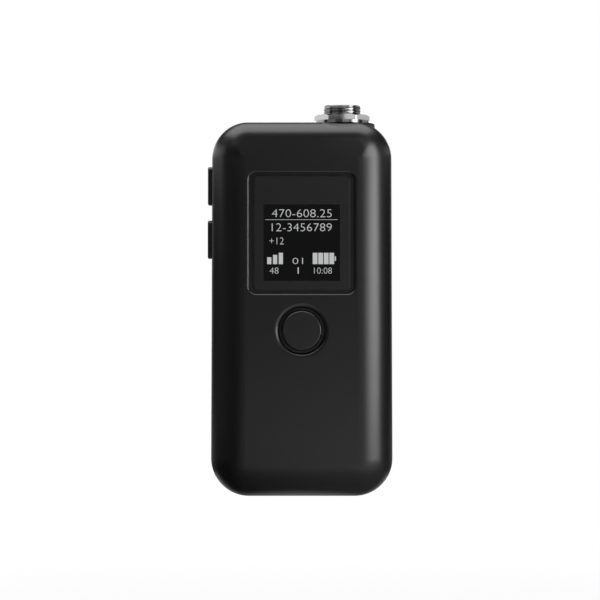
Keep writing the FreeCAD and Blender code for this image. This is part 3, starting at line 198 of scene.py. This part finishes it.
def make_fine_grain():
    """Fine orange-peel grain of paint and moulded skin: a height, and a little unevenness."""
    tree, given, result = group_with(
        "fine_grain",
        [("Vector", "NodeSocketVector", None), ("Grain size", "NodeSocketFloat", 0.0002),
         ("Evenness", "NodeSocketFloat", 0.5)],
        [("Height", "NodeSocketFloat"), ("Drift", "NodeSocketFloat")])
    scale = node(tree, "ShaderNodeMath", -700, 100, operation="DIVIDE")
    scale.inputs[0].default_value = 1.0
    grain = node(tree, "ShaderNodeTexNoise", -400, 200)
    grain.inputs["Detail"].default_value = 3.0
    grain.inputs["Roughness"].default_value = 0.55
    pits = node(tree, "ShaderNodeTexVoronoi", -400, -50, feature="SMOOTH_F1")
    mix = node(tree, "ShaderNodeMix", 100, 100, data_type="FLOAT")
    broad = node(tree, "ShaderNodeTexNoise", -400, -300)
    broad.inputs["Scale"].default_value = 60.0
    broad.inputs["Detail"].default_value = 4.0
    links = tree.links
    links.new(given.outputs["Grain size"], scale.inputs[1])
    for texture in (grain, pits, broad):
        links.new(given.outputs["Vector"], texture.inputs["Vector"])
    links.new(scale.outputs[0], grain.inputs["Scale"])
    links.new(scale.outputs[0], pits.inputs["Scale"])
    links.new(given.outputs["Evenness"], mix.inputs["Factor"])
    links.new(pits.outputs["Distance"], mix.inputs["A"])
    links.new(grain.outputs["Fac"], mix.inputs["B"])
    links.new(mix.outputs["Result"], result.inputs["Height"])
    links.new(broad.outputs["Fac"], result.inputs["Drift"])
    return tree


def make_turned_lines():
    """Fine rings left by a lathe round a standing axis: a height, and broader streaks of gloss."""
    tree, given, result = group_with(
        "turned_lines",
        [("Vector", "NodeSocketVector", None), ("Line spacing", "NodeSocketFloat", 0.00006)],
        [("Height", "NodeSocketFloat"), ("Streak", "NodeSocketFloat")])
    links = tree.links
    parts = node(tree, "ShaderNodeSeparateXYZ", -700)
    level = node(tree, "ShaderNodeCombineXYZ", -450)
    scale = node(tree, "ShaderNodeMath", -700, -200, operation="DIVIDE")
    scale.inputs[0].default_value = 1.0
    lines = node(tree, "ShaderNodeTexNoise", -150, 100, noise_dimensions="1D")
    lines.inputs["Detail"].default_value = 2.0
    streak = node(tree, "ShaderNodeTexNoise", -150, -200)
    streak.inputs["Scale"].default_value = 400.0
    links.new(given.outputs["Vector"], parts.inputs[0])
    links.new(given.outputs["Line spacing"], scale.inputs[1])
    links.new(parts.outputs["Z"], lines.inputs["W"])
    links.new(scale.outputs[0], lines.inputs["Scale"])
    links.new(parts.outputs["Z"], level.inputs["Z"])
    links.new(level.outputs[0], streak.inputs["Vector"])
    links.new(lines.outputs["Fac"], result.inputs["Height"])
    links.new(streak.outputs["Fac"], result.inputs["Streak"])
    return tree


def make_point_lattice():
    """The dark lattice between the light points of a display. One on a point, nothing between."""
    tree, given, result = group_with(
        "point_lattice",
        [("Vector", "NodeSocketVector", None), ("Pitch", "NodeSocketFloat", 0.000157),
         ("Fill", "NodeSocketFloat", 0.82)],
        [("Mask", "NodeSocketFloat")])
    links = tree.links
    parts = node(tree, "ShaderNodeSeparateXYZ", -700)
    links.new(given.outputs["Vector"], parts.inputs[0])
    masks = []
    for row, axis in enumerate(("X", "Z")):
        share = node(tree, "ShaderNodeMath", -500, -200 * row, operation="DIVIDE")
        wrap = node(tree, "ShaderNodeMath", -300, -200 * row, operation="WRAP")
        wrap.inputs[1].default_value = 1.0
        wrap.inputs[2].default_value = 0.0
        under = node(tree, "ShaderNodeMath", -100, -200 * row, operation="LESS_THAN")
        links.new(parts.outputs[axis], share.inputs[0])
        links.new(given.outputs["Pitch"], share.inputs[1])
        links.new(share.outputs[0], wrap.inputs[0])
        links.new(wrap.outputs[0], under.inputs[0])
        links.new(given.outputs["Fill"], under.inputs[1])
        masks.append(under)
    both = node(tree, "ShaderNodeMath", 200, operation="MULTIPLY")
    links.new(masks[0].outputs[0], both.inputs[0])
    links.new(masks[1].outputs[0], both.inputs[1])
    links.new(both.outputs[0], result.inputs["Mask"])
    return tree


glossy = {"Specular_IOR_Level": 1.0, "IOR": 1.7}  # hard gloss of the case, its keys and its window
metal = {"Metallic": 1.0}
fine_grain = make_fine_grain()
turned_lines = make_turned_lines()
point_lattice = make_point_lattice()


def new_material(name, base, roughness, **sockets):
    """A material with one Principled shader whose even values are set on its own sockets."""
    material = bpy.data.materials.new(name)
    material.use_nodes = True
    shader = material.node_tree.nodes["Principled BSDF"]
    shader.inputs["Base Color"].default_value = (*base, 1)
    shader.inputs["Roughness"].default_value = roughness
    for socket, value in sockets.items():
        shader.inputs[socket.replace("_", " ")].default_value = value
    return material, material.node_tree, shader


def place_group(tree, group, vector, **values):
    """Place a shader group in a material, with a vector and values of its own."""
    used = node(tree, "ShaderNodeGroup", -900, node_tree=group)
    for label, value in values.items():
        used.inputs[label.replace("_", " ")].default_value = value
    tree.links.new(vector, used.inputs["Vector"])
    return used


def surface_place(tree, centre=None):
    """Object coordinates, centred on a point of the piece if one is given."""
    coordinates = node(tree, "ShaderNodeTexCoord", -1400)
    if centre is None:
        return coordinates.outputs["Object"]
    mapping = node(tree, "ShaderNodeMapping", -1200, vector_type="POINT")
    mapping.inputs["Location"].default_value = -Vector(centre)
    tree.links.new(coordinates.outputs["Object"], mapping.inputs["Vector"])
    return mapping.outputs["Vector"]


def span(tree, value, low, high):
    """Stretch a value between nothing and one to another range."""
    spread = node(tree, "ShaderNodeMapRange", -500)
    spread.inputs["To Min"].default_value = low
    spread.inputs["To Max"].default_value = high
    tree.links.new(value, spread.inputs["Value"])
    return spread.outputs["Result"]


def tint(tree, value, low, high):
    """Turn a value between nothing and one into a colour between two."""
    ramp = node(tree, "ShaderNodeMix", -500, 300, data_type="RGBA")
    ramp.inputs["A"].default_value = (*low, 1)
    ramp.inputs["B"].default_value = (*high, 1)
    tree.links.new(value, ramp.inputs["Factor"])
    return ramp.outputs["Result"]


def bump(tree, shader, height, distance):
    """Raise a material's surface by a height pattern, this deep at most."""
    made = node(tree, "ShaderNodeBump", -250, -300)
    made.inputs["Distance"].default_value = distance
    made.inputs["Strength"].default_value = 1.0
    tree.links.new(height, made.inputs["Height"])
    tree.links.new(made.outputs["Normal"], shader.inputs["Normal"])


def grained(name, base, drift, roughness, gloss_drift, grain, depth, **sockets):
    """A surface with a fine grain of a size and depth, and a slight drift of tone and of gloss."""
    material, tree, shader = new_material(name, base, roughness, **sockets)
    used = place_group(tree, fine_grain, surface_place(tree), Grain_size=grain, Evenness=0.6)
    darker = [tone * (1 - drift) for tone in base]
    lighter = [tone * (1 + drift) for tone in base]
    links = tree.links
    links.new(tint(tree, used.outputs["Drift"], darker, lighter), shader.inputs["Base Color"])
    links.new(span(tree, used.outputs["Drift"], roughness - gloss_drift, roughness + gloss_drift),
              shader.inputs["Roughness"])
    bump(tree, shader, used.outputs["Height"], depth)
    return material


def lathed(name, base, roughness, centre, spacing, depth):
    """Plated metal that was turned on a lathe about a standing axis."""
    material, tree, shader = new_material(name, base, roughness, **metal)
    used = place_group(tree, turned_lines, surface_place(tree, centre), Line_spacing=spacing)
    smoothest, dullest = roughness * 0.7, roughness * 1.5
    tree.links.new(span(tree, used.outputs["Streak"], smoothest, dullest),
                   shader.inputs["Roughness"])
    bump(tree, shader, used.outputs["Height"], depth)
    return material


def display_window():
    """The display's window: a satin printed border and a smoked gloss area over the screen."""
    border_tone, screen_tone = (0.017, 0.017, 0.0175), (0.0022, 0.0022, 0.0024)
    border_roughness, screen_roughness = 0.32, 0.12
    unlit, screen_haze = (0, 0, 0), (0.003, 0.003, 0.0032)
    material, tree, shader = new_material("display_window", border_tone, border_roughness, **glossy)
    links = tree.links
    place = surface_place(tree, screen_middle)
    parts = node(tree, "ShaderNodeSeparateXYZ", -1100)
    links.new(place, parts.inputs[0])
    inside = []
    for row, axis in enumerate(("X", "Z")):
        away = node(tree, "ShaderNodeMath", -950, -200 * row, operation="ABSOLUTE")
        under = node(tree, "ShaderNodeMath", -800, -200 * row, operation="LESS_THAN")
        under.inputs[1].default_value = screen_side / 2
        links.new(parts.outputs[axis], away.inputs[0])
        links.new(away.outputs[0], under.inputs[0])
        inside.append(under)
    lit = node(tree, "ShaderNodeMath", -650, operation="MULTIPLY")
    links.new(inside[0].outputs[0], lit.inputs[0])
    links.new(inside[1].outputs[0], lit.inputs[1])
    links.new(tint(tree, lit.outputs[0], border_tone, screen_tone), shader.inputs["Base Color"])
    links.new(span(tree, lit.outputs[0], border_roughness, screen_roughness),
              shader.inputs["Roughness"])
    links.new(tint(tree, lit.outputs[0], unlit, screen_haze), shader.inputs["Emission Color"])
    shader.inputs["Emission Strength"].default_value = 1.0
    used = place_group(tree, fine_grain, surface_place(tree), Grain_size=0.12 * MM, Evenness=0.8)
    bump(tree, shader, used.outputs["Height"], 0.0006 * MM)
    return material


def display_light():
    """The pale light of the display's points, with the dark lattice between them."""
    material, tree, shader = new_material("display_light", (0.02, 0.02, 0.02), 0.35)
    used = place_group(tree, point_lattice, surface_place(tree, screen_middle),
                       Pitch=light_point, Fill=0.86)
    between_points, on_point = (0.24, 0.24, 0.24), (0.56, 0.57, 0.57)
    glow = tint(tree, used.outputs["Mask"], between_points, on_point)
    tree.links.new(glow, shader.inputs["Emission Color"])
    shader.inputs["Emission Strength"].default_value = 1.0
    return material


case_black = grained("case_black", (0.005, 0.005, 0.0052), drift=0.08, roughness=0.34,
                     gloss_drift=0.02, grain=0.11 * MM, depth=0.0022 * MM, **glossy)
button_black = grained("button_black", (0.011, 0.011, 0.0112), drift=0.05, roughness=0.33,
                       gloss_drift=0.02, grain=0.1 * MM, depth=0.0012 * MM, **glossy)
key_black = grained("key_black", (0.008, 0.008, 0.0082), drift=0.05, roughness=0.4,
                    gloss_drift=0.03, grain=0.1 * MM, depth=0.002 * MM, **glossy)
clip_black = grained("clip_black", (0.013, 0.013, 0.0135), drift=0.1, roughness=0.42,
                     gloss_drift=0.03, grain=0.16 * MM, depth=0.005 * MM, **glossy)
inner_plastic = grained("inner_plastic", (0.012, 0.012, 0.012), drift=0.08, roughness=0.5,
                        gloss_drift=0.05, grain=0.2 * MM, depth=0.004 * MM)
seal_rubber = grained("seal_rubber", (0.015, 0.015, 0.015), drift=0.1, roughness=0.65,
                      gloss_drift=0.05, grain=0.25 * MM, depth=0.004 * MM)
foam_grey = grained("foam_grey", (0.06, 0.06, 0.062), drift=0.2, roughness=0.95,
                    gloss_drift=0.04, grain=0.35 * MM, depth=0.03 * MM)
battery_black = grained("battery_black", (0.02, 0.02, 0.022), drift=0.1, roughness=0.5,
                        gloss_drift=0.04, grain=0.3 * MM, depth=0.006 * MM)
board_green = grained("board_green", (0.012, 0.075, 0.03), drift=0.25, roughness=0.35,
                      gloss_drift=0.08, grain=0.5 * MM, depth=0.004 * MM)
chip_black = grained("chip_black", (0.02, 0.02, 0.021), drift=0.12, roughness=0.6,
                     gloss_drift=0.06, grain=0.1 * MM, depth=0.003 * MM)
display_glass = grained("display_glass", (0.004, 0.004, 0.005), drift=0.05, roughness=0.08,
                        gloss_drift=0.02, grain=1.0 * MM, depth=0.0003 * MM)
tinned_sheet = grained("tinned_sheet", (0.55, 0.55, 0.52), drift=0.06, roughness=0.32,
                       gloss_drift=0.06, grain=0.3 * MM, depth=0.002 * MM, **metal)
copper_sheet = grained("copper_sheet", (0.72, 0.4, 0.26), drift=0.08, roughness=0.34,
                       gloss_drift=0.06, grain=0.4 * MM, depth=0.002 * MM, **metal)
switch_metal = grained("switch_metal", (0.5, 0.5, 0.5), drift=0.06, roughness=0.35,
                       gloss_drift=0.06, grain=0.2 * MM, depth=0.002 * MM, **metal)
screw_black = grained("screw_black", (0.06, 0.06, 0.062), drift=0.15, roughness=0.34,
                      gloss_drift=0.06, grain=0.12 * MM, depth=0.002 * MM, **metal)
contact_gold = grained("contact_gold", (0.83, 0.58, 0.24), drift=0.05, roughness=0.22,
                       gloss_drift=0.06, grain=0.2 * MM, depth=0.0015 * MM, **metal)
socket_chrome = lathed("socket_chrome", (0.42, 0.42, 0.425), roughness=0.14, centre=socket_axis,
                       spacing=0.05 * MM, depth=0.0006 * MM)
nut_chrome = grained("nut_chrome", (0.6, 0.6, 0.605), drift=0.04, roughness=0.08,
                     gloss_drift=0.02, grain=0.3 * MM, depth=0.0003 * MM, **metal)
window_black = display_window()
screen_light = display_light()


# ------------------------------------------------------------------ input socket

thread_pitch = 0.75 * MM
thread_depth = 0.15 * MM
thread_turns = 4
thread_drop = 0.75 * MM  # from the rim to the highest crest
barrel_radius = 5.0 * MM
thread_root = barrel_radius - thread_depth
bore_radius = 4.05 * MM
mouth_bevel = 0.2 * MM
neck_drop, neck_step = 0.5 * MM, 0.1 * MM  # smooth neck above the thread
groove_radius = 4.4 * MM
groove_top, groove_foot, groove_slope = 1.8 * MM, 2.6 * MM, 0.05 * MM  # latch groove, below the rim
flange_radius, flange_height = 5.9 * MM, 1.2 * MM
tail_radius = 5.3 * MM
keyway_width, keyway_depth, keyway_length = 1.2 * MM, 1.3 * MM, 3.0 * MM
keyway_drop = 0.9 * MM  # from the rim to the middle of its length


def stand_on_socket(piece, height):
    """Move a piece that was made about the origin to the socket's axis."""
    piece.location = (socket_axis.x, socket_axis.y, height)
    return settle(piece)


def socket_barrel():
    """The socket's turned body: bored barrel with a bevelled mouth, flange and tail."""
    rim = shell_high.z
    tail_end = shell_low.z - rim
    flange_top = washer_low.z - case_roof - rim
    neck = barrel_radius - neck_step
    body = turned("socket_body", [
        (bore_radius, tail_end), (tail_radius, tail_end), (tail_radius, flange_top - flange_height),
        (flange_radius, flange_top - flange_height), (flange_radius, flange_top),
        (thread_root, flange_top), (thread_root, -neck_drop), (neck, thread_depth / 2 - neck_drop),
        (neck, -mouth_bevel), (neck - mouth_bevel, 0), (bore_radius + mouth_bevel, 0),
        (bore_radius, -mouth_bevel), (bore_radius, -groove_top),
        (groove_radius, -groove_top - groove_slope), (groove_radius, groove_slope - groove_foot),
        (bore_radius, -groove_foot), (bore_radius, tail_end)])
    bpy.ops.mesh.primitive_cube_add(size=1, location=(0, -bore_radius, -keyway_drop),
                                    scale=(keyway_width, keyway_depth, keyway_length))
    keyway = settle(named("keyway_cutter"))
    finish_with(body, "BOOLEAN", object=keyway, operation="DIFFERENCE", solver="EXACT")
    bpy.data.objects.remove(keyway)
    tidy_mesh(body)
    return stand_on_socket(body, rim)


def socket_thread():
    """The thread above the nut: one ridge turned round the barrel as a helix."""
    half_foot, half_crest = thread_pitch * 0.47, thread_pitch * 0.25
    sunk = thread_root - 0.05 * MM
    crest_edge = barrel_radius - 0.03 * MM
    ridge = drawn_profile("socket_thread", [
        (sunk, -half_foot), (crest_edge, -half_crest), (barrel_radius, 0), (crest_edge, half_crest),
        (sunk, half_foot)])
    finish_with(ridge, "SCREW", angle=math.tau, screw_offset=thread_pitch, iterations=thread_turns,
                steps=round_steps, render_steps=round_steps)
    tidy_mesh(ridge, angle=25)
    return stand_on_socket(ridge, shell_high.z - thread_drop - thread_pitch * thread_turns)


# ------------------------------------------------------------------ display

def on_screen(left, base):
    """A point of the screen, from its lower left corner."""
    return Vector((screen_middle.x - screen_side / 2 + left, screen_middle.y,
                   screen_middle.z - screen_side / 2 + base))


def screen_numbers(name, words, left, base, width, height):
    """One line of plain numbers, as a thin film of light points on the window."""
    bpy.ops.object.text_add(location=(0, 0, 0))
    line = bpy.context.object
    line.data.body = words
    line.data.extrude = 0.01
    line.data.offset = -0.016  # thins the strokes
    line.data.resolution_u = 3
    bpy.ops.object.convert(target="MESH")
    line = named(name)
    low, high = Vector(line.bound_box[0]), Vector(line.bound_box[6])
    size = high - low
    line.location = -low
    settle(line)
    line.scale = (width / size.x, height / size.y, film / size.z)
    line.rotation_euler = (math.radians(90), 0, 0)
    line.location = on_screen(left, base)
    return settle(line)


def screen_bar(name, left, base, width, height):
    """A plain lit block of the screen, raised from the window by the film's thickness."""
    deselect()
    bpy.ops.mesh.primitive_plane_add(size=1, location=on_screen(left + width / 2, base + height / 2),
                                     rotation=(math.radians(90), 0, 0))
    bar = named(name)
    bar.scale = (width, height, 1)
    settle(bar)
    start_edit()
    bpy.ops.mesh.select_all(action="SELECT")
    bpy.ops.mesh.extrude_region_move(TRANSFORM_OT_translate={"value": (0, -film, 0)})
    leave_edit()
    return bar


def beside(piece, name, distance):
    """A copy of a piece with its own mesh, to the right of it."""
    take(piece)
    bpy.ops.object.duplicate_move(TRANSFORM_OT_translate={"value": (distance, 0, 0)})
    return settle(named(name))


def screen_content():
    """Numbers, a line, signal bars and a battery sign. None of it is a word or a name.

    Each row gives left, base, width and height, in light points from the lower left corner."""
    numbers = [("upper_number", "470-608.25", 13.7, 106.5, 100.5, 13.4),
               ("lower_number", "12-3456789", 13.7, 83, 100.5, 13.4),
               ("gain_number", "+12", 9.7, 61, 24, 11.6), ("signal_number", "48", 10, 12, 15, 10.4),
               ("channel_upper", "01", 48.5, 28.2, 17.5, 10.4),
               ("channel_number", "1", 57, 12, 1.8, 10.4),
               ("clock_number", "10:08", 84.5, 12, 30, 10.4)]
    bars = [("divider", 3, 102.2, 121, 0.6), ("short_bar", 6, 28, 7, 11.5),
            ("middle_bar", 15.7, 28, 7, 15.5), ("tall_bar", 25.4, 28, 7, 19),
            ("battery_nub", 119, 33.5, 2.2, 7.5), ("battery_cell_1", 82.3, 28, 7.9, 19)]
    cell_count, cell_step = 4, 9.3 * light_point
    pieces = [screen_numbers(name, words, *[step * light_point for step in steps])
              for name, words, *steps in numbers]
    pieces += [screen_bar(name, *[step * light_point for step in steps]) for name, *steps in bars]
    cell = pieces[-1]
    pieces += [beside(cell, f"battery_cell_{place + 1}", cell_step * place)
               for place in range(1, cell_count)]
    return join("display_light", pieces)


# ------------------------------------------------------------------ room

table_drop = 66 * MM
room_radius = 0.5  # of the table top and of the sheet of reflections
room_corners = 128
sheet_tone = 0.012


def bright_patch(tree, place, centre, reach, full, strength):
    """A soft oval patch of light: even in the middle, fading to the sheet's dark tone."""
    spot = node(tree, "ShaderNodeMapping", -900, -300, vector_type="TEXTURE")
    spot.inputs["Location"].default_value = (*centre, 0)
    spot.inputs["Scale"].default_value = (*reach, 1)
    fall = node(tree, "ShaderNodeTexGradient", -700, -300, gradient_type="SPHERICAL")
    level = node(tree, "ShaderNodeMapRange", -500, -300)
    level.inputs["From Max"].default_value = full
    level.inputs["To Min"].default_value = sheet_tone
    level.inputs["To Max"].default_value = strength
    tree.links.new(place, spot.inputs["Vector"])
    tree.links.new(spot.outputs[0], fall.inputs["Vector"])
    tree.links.new(fall.outputs["Fac"], level.inputs["Value"])
    return level.outputs["Result"]


def brightest(tree, values):
    """The greatest of several values."""
    greatest = values[0]
    for value in values[1:]:
        choice = node(tree, "ShaderNodeMath", -300, -400, operation="MAXIMUM")
        tree.links.new(greatest, choice.inputs[0])
        tree.links.new(value, choice.inputs[1])
        greatest = choice.outputs[0]
    return greatest


def floor():
    """A pale round table top that fades into the white behind it, below the open door's reach.

    It is clear from underneath, so that the underside can be looked at."""
    bpy.ops.mesh.primitive_circle_add(vertices=room_corners, radius=room_radius, fill_type="NGON",
                                      location=(0, 0, -table_drop))
    table = settle(named("table_top"))
    material, tree, shader = new_material("table_white", (0.86, 0.86, 0.86), 0.9,
                                          Specular_IOR_Level=0.0)
    links = tree.links
    away = node(tree, "ShaderNodeVectorMath", -700, operation="LENGTH")
    fade = node(tree, "ShaderNodeMapRange", -500)
    for label, value in (("From Min", 0.08), ("From Max", 0.46), ("To Min", 0.85), ("To Max", 1.0)):
        fade.inputs[label].default_value = value
    rays = node(tree, "ShaderNodeLightPath", -700, 400)
    straight = brightest(tree, [rays.outputs[f"Is {kind} Ray"]
                                for kind in ("Camera", "Glossy", "Transmission")])
    seen = node(tree, "ShaderNodeMath", -300, 400, operation="MULTIPLY")
    glow = node(tree, "ShaderNodeEmission", 0, 0)
    mix = node(tree, "ShaderNodeMixShader", 300, 0)
    face = node(tree, "ShaderNodeNewGeometry", 0, 400)
    clear = node(tree, "ShaderNodeBsdfTransparent", 300, -200)
    side = node(tree, "ShaderNodeMixShader", 500, 0)
    links.new(surface_place(tree, (0, 0, -table_drop)), away.inputs[0])
    links.new(away.outputs["Value"], fade.inputs["Value"])
    links.new(fade.outputs["Result"], seen.inputs[0])
    links.new(straight, seen.inputs[1])
    links.new(seen.outputs[0], mix.inputs[0])
    links.new(shader.outputs[0], mix.inputs[1])
    links.new(glow.outputs[0], mix.inputs[2])
    links.new(face.outputs["Backfacing"], side.inputs[0])
    links.new(mix.outputs[0], side.inputs[1])
    links.new(clear.outputs[0], side.inputs[2])
    links.new(side.outputs[0], tree.nodes["Material Output"].inputs[0])
    dress(table, material)


def lower_reflections():
    """What gloss shows below the object: a dark sheet with soft patches of light.

    One patch is in front, one behind, one to the left and a small one under the foot. Sight,
    light and shadows pass through the sheet."""
    bpy.ops.mesh.primitive_circle_add(vertices=room_corners, radius=room_radius, fill_type="NGON",
                                      location=(0, 0, 0))
    sheet = named("lower_reflections")
    material = bpy.data.materials.new("reflected_patches")
    material.use_nodes = True
    tree = material.node_tree
    place = surface_place(tree)
    glow = node(tree, "ShaderNodeEmission", 0, 0)
    rows = [((0.03, -0.18), (0.1, 0.2), 0.5, 0.3),
            ((0, 0.22), (0.3, 0.22), 0.5, 0.3),
            ((-0.3, 0), (0.13, 0.25), 0.5, 0.16),
            ((0, 0.013), (0.04, 0.02), 0.3, 0.7)]
    patches = [bright_patch(tree, place, centre, reach, full, strength)
               for centre, reach, full, strength in rows]
    tree.links.new(brightest(tree, patches), glow.inputs["Strength"])
    tree.links.new(glow.outputs[0], tree.nodes["Material Output"].inputs[0])
    dress(sheet, material)
    sheet.visible_camera = False
    sheet.visible_diffuse = False
    sheet.visible_transmission = False
    sheet.visible_shadow = False


def softbox(name, azimuth, elevation, distance, wide, tall, strength, aim_height=50 * MM, roll=0):
    """A plain rectangular lamp aimed at the object's axis. Azimuth 0 is in front of it.

    Roll turns it about the line of its aim, in degrees. Strength is a quarter of its power in
    watts for each square metre."""
    around, up = math.radians(azimuth), math.radians(elevation)
    aim = Vector((0, 0, aim_height))
    away = Vector((math.sin(around) * math.cos(up), -math.cos(around) * math.cos(up), math.sin(up)))
    bpy.ops.object.light_add(type="AREA", location=aim + away * distance)
    lamp = bpy.context.object
    lamp.name = name
    lamp.data.shape = "RECTANGLE"
    lamp.data.size = wide
    lamp.data.size_y = tall
    lamp.data.energy = strength * 4 * wide * tall
    lamp.rotation_mode = "QUATERNION"
    upright = away.to_track_quat("Z", "Y")
    lamp.rotation_quaternion = upright @ Quaternion((0, 0, 1), math.radians(roll))
    lamp.visible_camera = False


def surroundings():
    """White behind the object, which metal reflects too, and a dim room on all other sides."""
    world = bpy.data.worlds.new("studio")
    bpy.context.scene.world = world
    world.use_nodes = True
    tree = world.node_tree
    links = tree.links
    shade = tree.nodes["Background"]
    shade.inputs["Color"].default_value = (1, 1, 1, 1)
    coordinates = node(tree, "ShaderNodeTexCoord", -900)
    parts = node(tree, "ShaderNodeSeparateXYZ", -700)
    behind = node(tree, "ShaderNodeMapRange", -500)
    for label, value in (("From Min", 0.84), ("From Max", 0.97), ("To Min", 0.018), ("To Max", 0.9)):
        behind.inputs[label].default_value = value
    rays = node(tree, "ShaderNodeLightPath", -700, 400)
    strength = node(tree, "ShaderNodeMath", -200, 200, operation="MAXIMUM")
    links.new(coordinates.outputs["Generated"], parts.inputs[0])
    links.new(parts.outputs["Y"], behind.inputs["Value"])
    links.new(behind.outputs["Result"], strength.inputs[0])
    links.new(rays.outputs["Is Camera Ray"], strength.inputs[1])
    links.new(strength.outputs[0], shade.inputs["Strength"])


def camera():
    """Level with the middle of the object, straight in front of it, with a long lens."""
    aside, away, height = -0.48 * MM, 0.664, 52.6 * MM
    bpy.ops.object.camera_add(location=(aside, -away, height), rotation=(math.radians(90), 0, 0))
    made = bpy.context.object
    made.data.lens = 148
    made.data.sensor_width = 36
    bpy.context.scene.camera = made


# ------------------------------------------------------------------ the whole transmitter

finish_of_node = {
    case_black: ("front_case", "rear_case", "battery_door"),
    button_black: ("front_button",),
    key_black: ("upper_side_button", "lower_side_button"),
    window_black: ("display_lens",),
    display_glass: ("display_module",),
    inner_plastic: ("display_holder", "socket_insert"),
    seal_rubber: ("display_gasket", "front_button_seal", "upper_side_button_seal",
                  "lower_side_button_seal", "socket_seal"),
    switch_metal: ("front_switch", "upper_side_switch", "lower_side_switch"),
    board_green: ("main_board", "side_button_board"),
    chip_black: ("board_chips",),
    tinned_sheet: ("rf_shield",),
    copper_sheet: ("antenna",),
    socket_chrome: ("socket_shell", "lock_washer"),
    nut_chrome: ("hex_nut",),
    contact_gold: ("contact_pins", "battery_contacts", "charge_contacts"),
    battery_black: ("battery_pack",),
    foam_grey: ("door_pad",),
    screw_black: ("upper_case_screws", "lower_case_screws", "board_screws", "clip_screws",
                  "clip_pin", "clip_spring"),
    clip_black: ("clip_bracket", "belt_clip"),
}

camera()
for material, names in finish_of_node.items():
    for name in names:
        dress(nodes[name], material)

barrel = ride_with(socket_barrel(), "case", socket_chrome)
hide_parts("socket_shell")
ride_with(socket_thread(), "case", socket_chrome)
ride_with(screen_content(), "case", screen_light)

floor()
lower_reflections()
surroundings()
softbox("right_softbox", azimuth=48.5, elevation=-12, distance=0.9, wide=0.95, tall=0.6, strength=2.3,
        roll=30)
softbox("overhead_softbox", azimuth=270, elevation=84, distance=0.9, wide=1.25, tall=1.95,
        strength=1.02)
softbox("left_card", azimuth=232, elevation=0, distance=0.16, wide=0.32, tall=0.024, strength=0.72,
        aim_height=117 * MM)
softbox("right_card", azimuth=115, elevation=0, distance=0.16, wide=0.12, tall=0.012, strength=0.58,
        aim_height=117 * MM)
softbox("front_card", azimuth=23.6, elevation=0, distance=0.065, wide=0.03, tall=0.004, strength=0.75,
        aim_height=106.6 * MM)
softbox("dim_card", azimuth=357, elevation=0, distance=0.06, wide=0.028, tall=0.004, strength=0.12,
        aim_height=107 * MM)
softbox("side_card", azimuth=320, elevation=0, distance=0.065, wide=0.05, tall=0.006, strength=0.3,
        aim_height=107.5 * MM)
bpy.context.scene.view_settings.view_transform = "Standard"
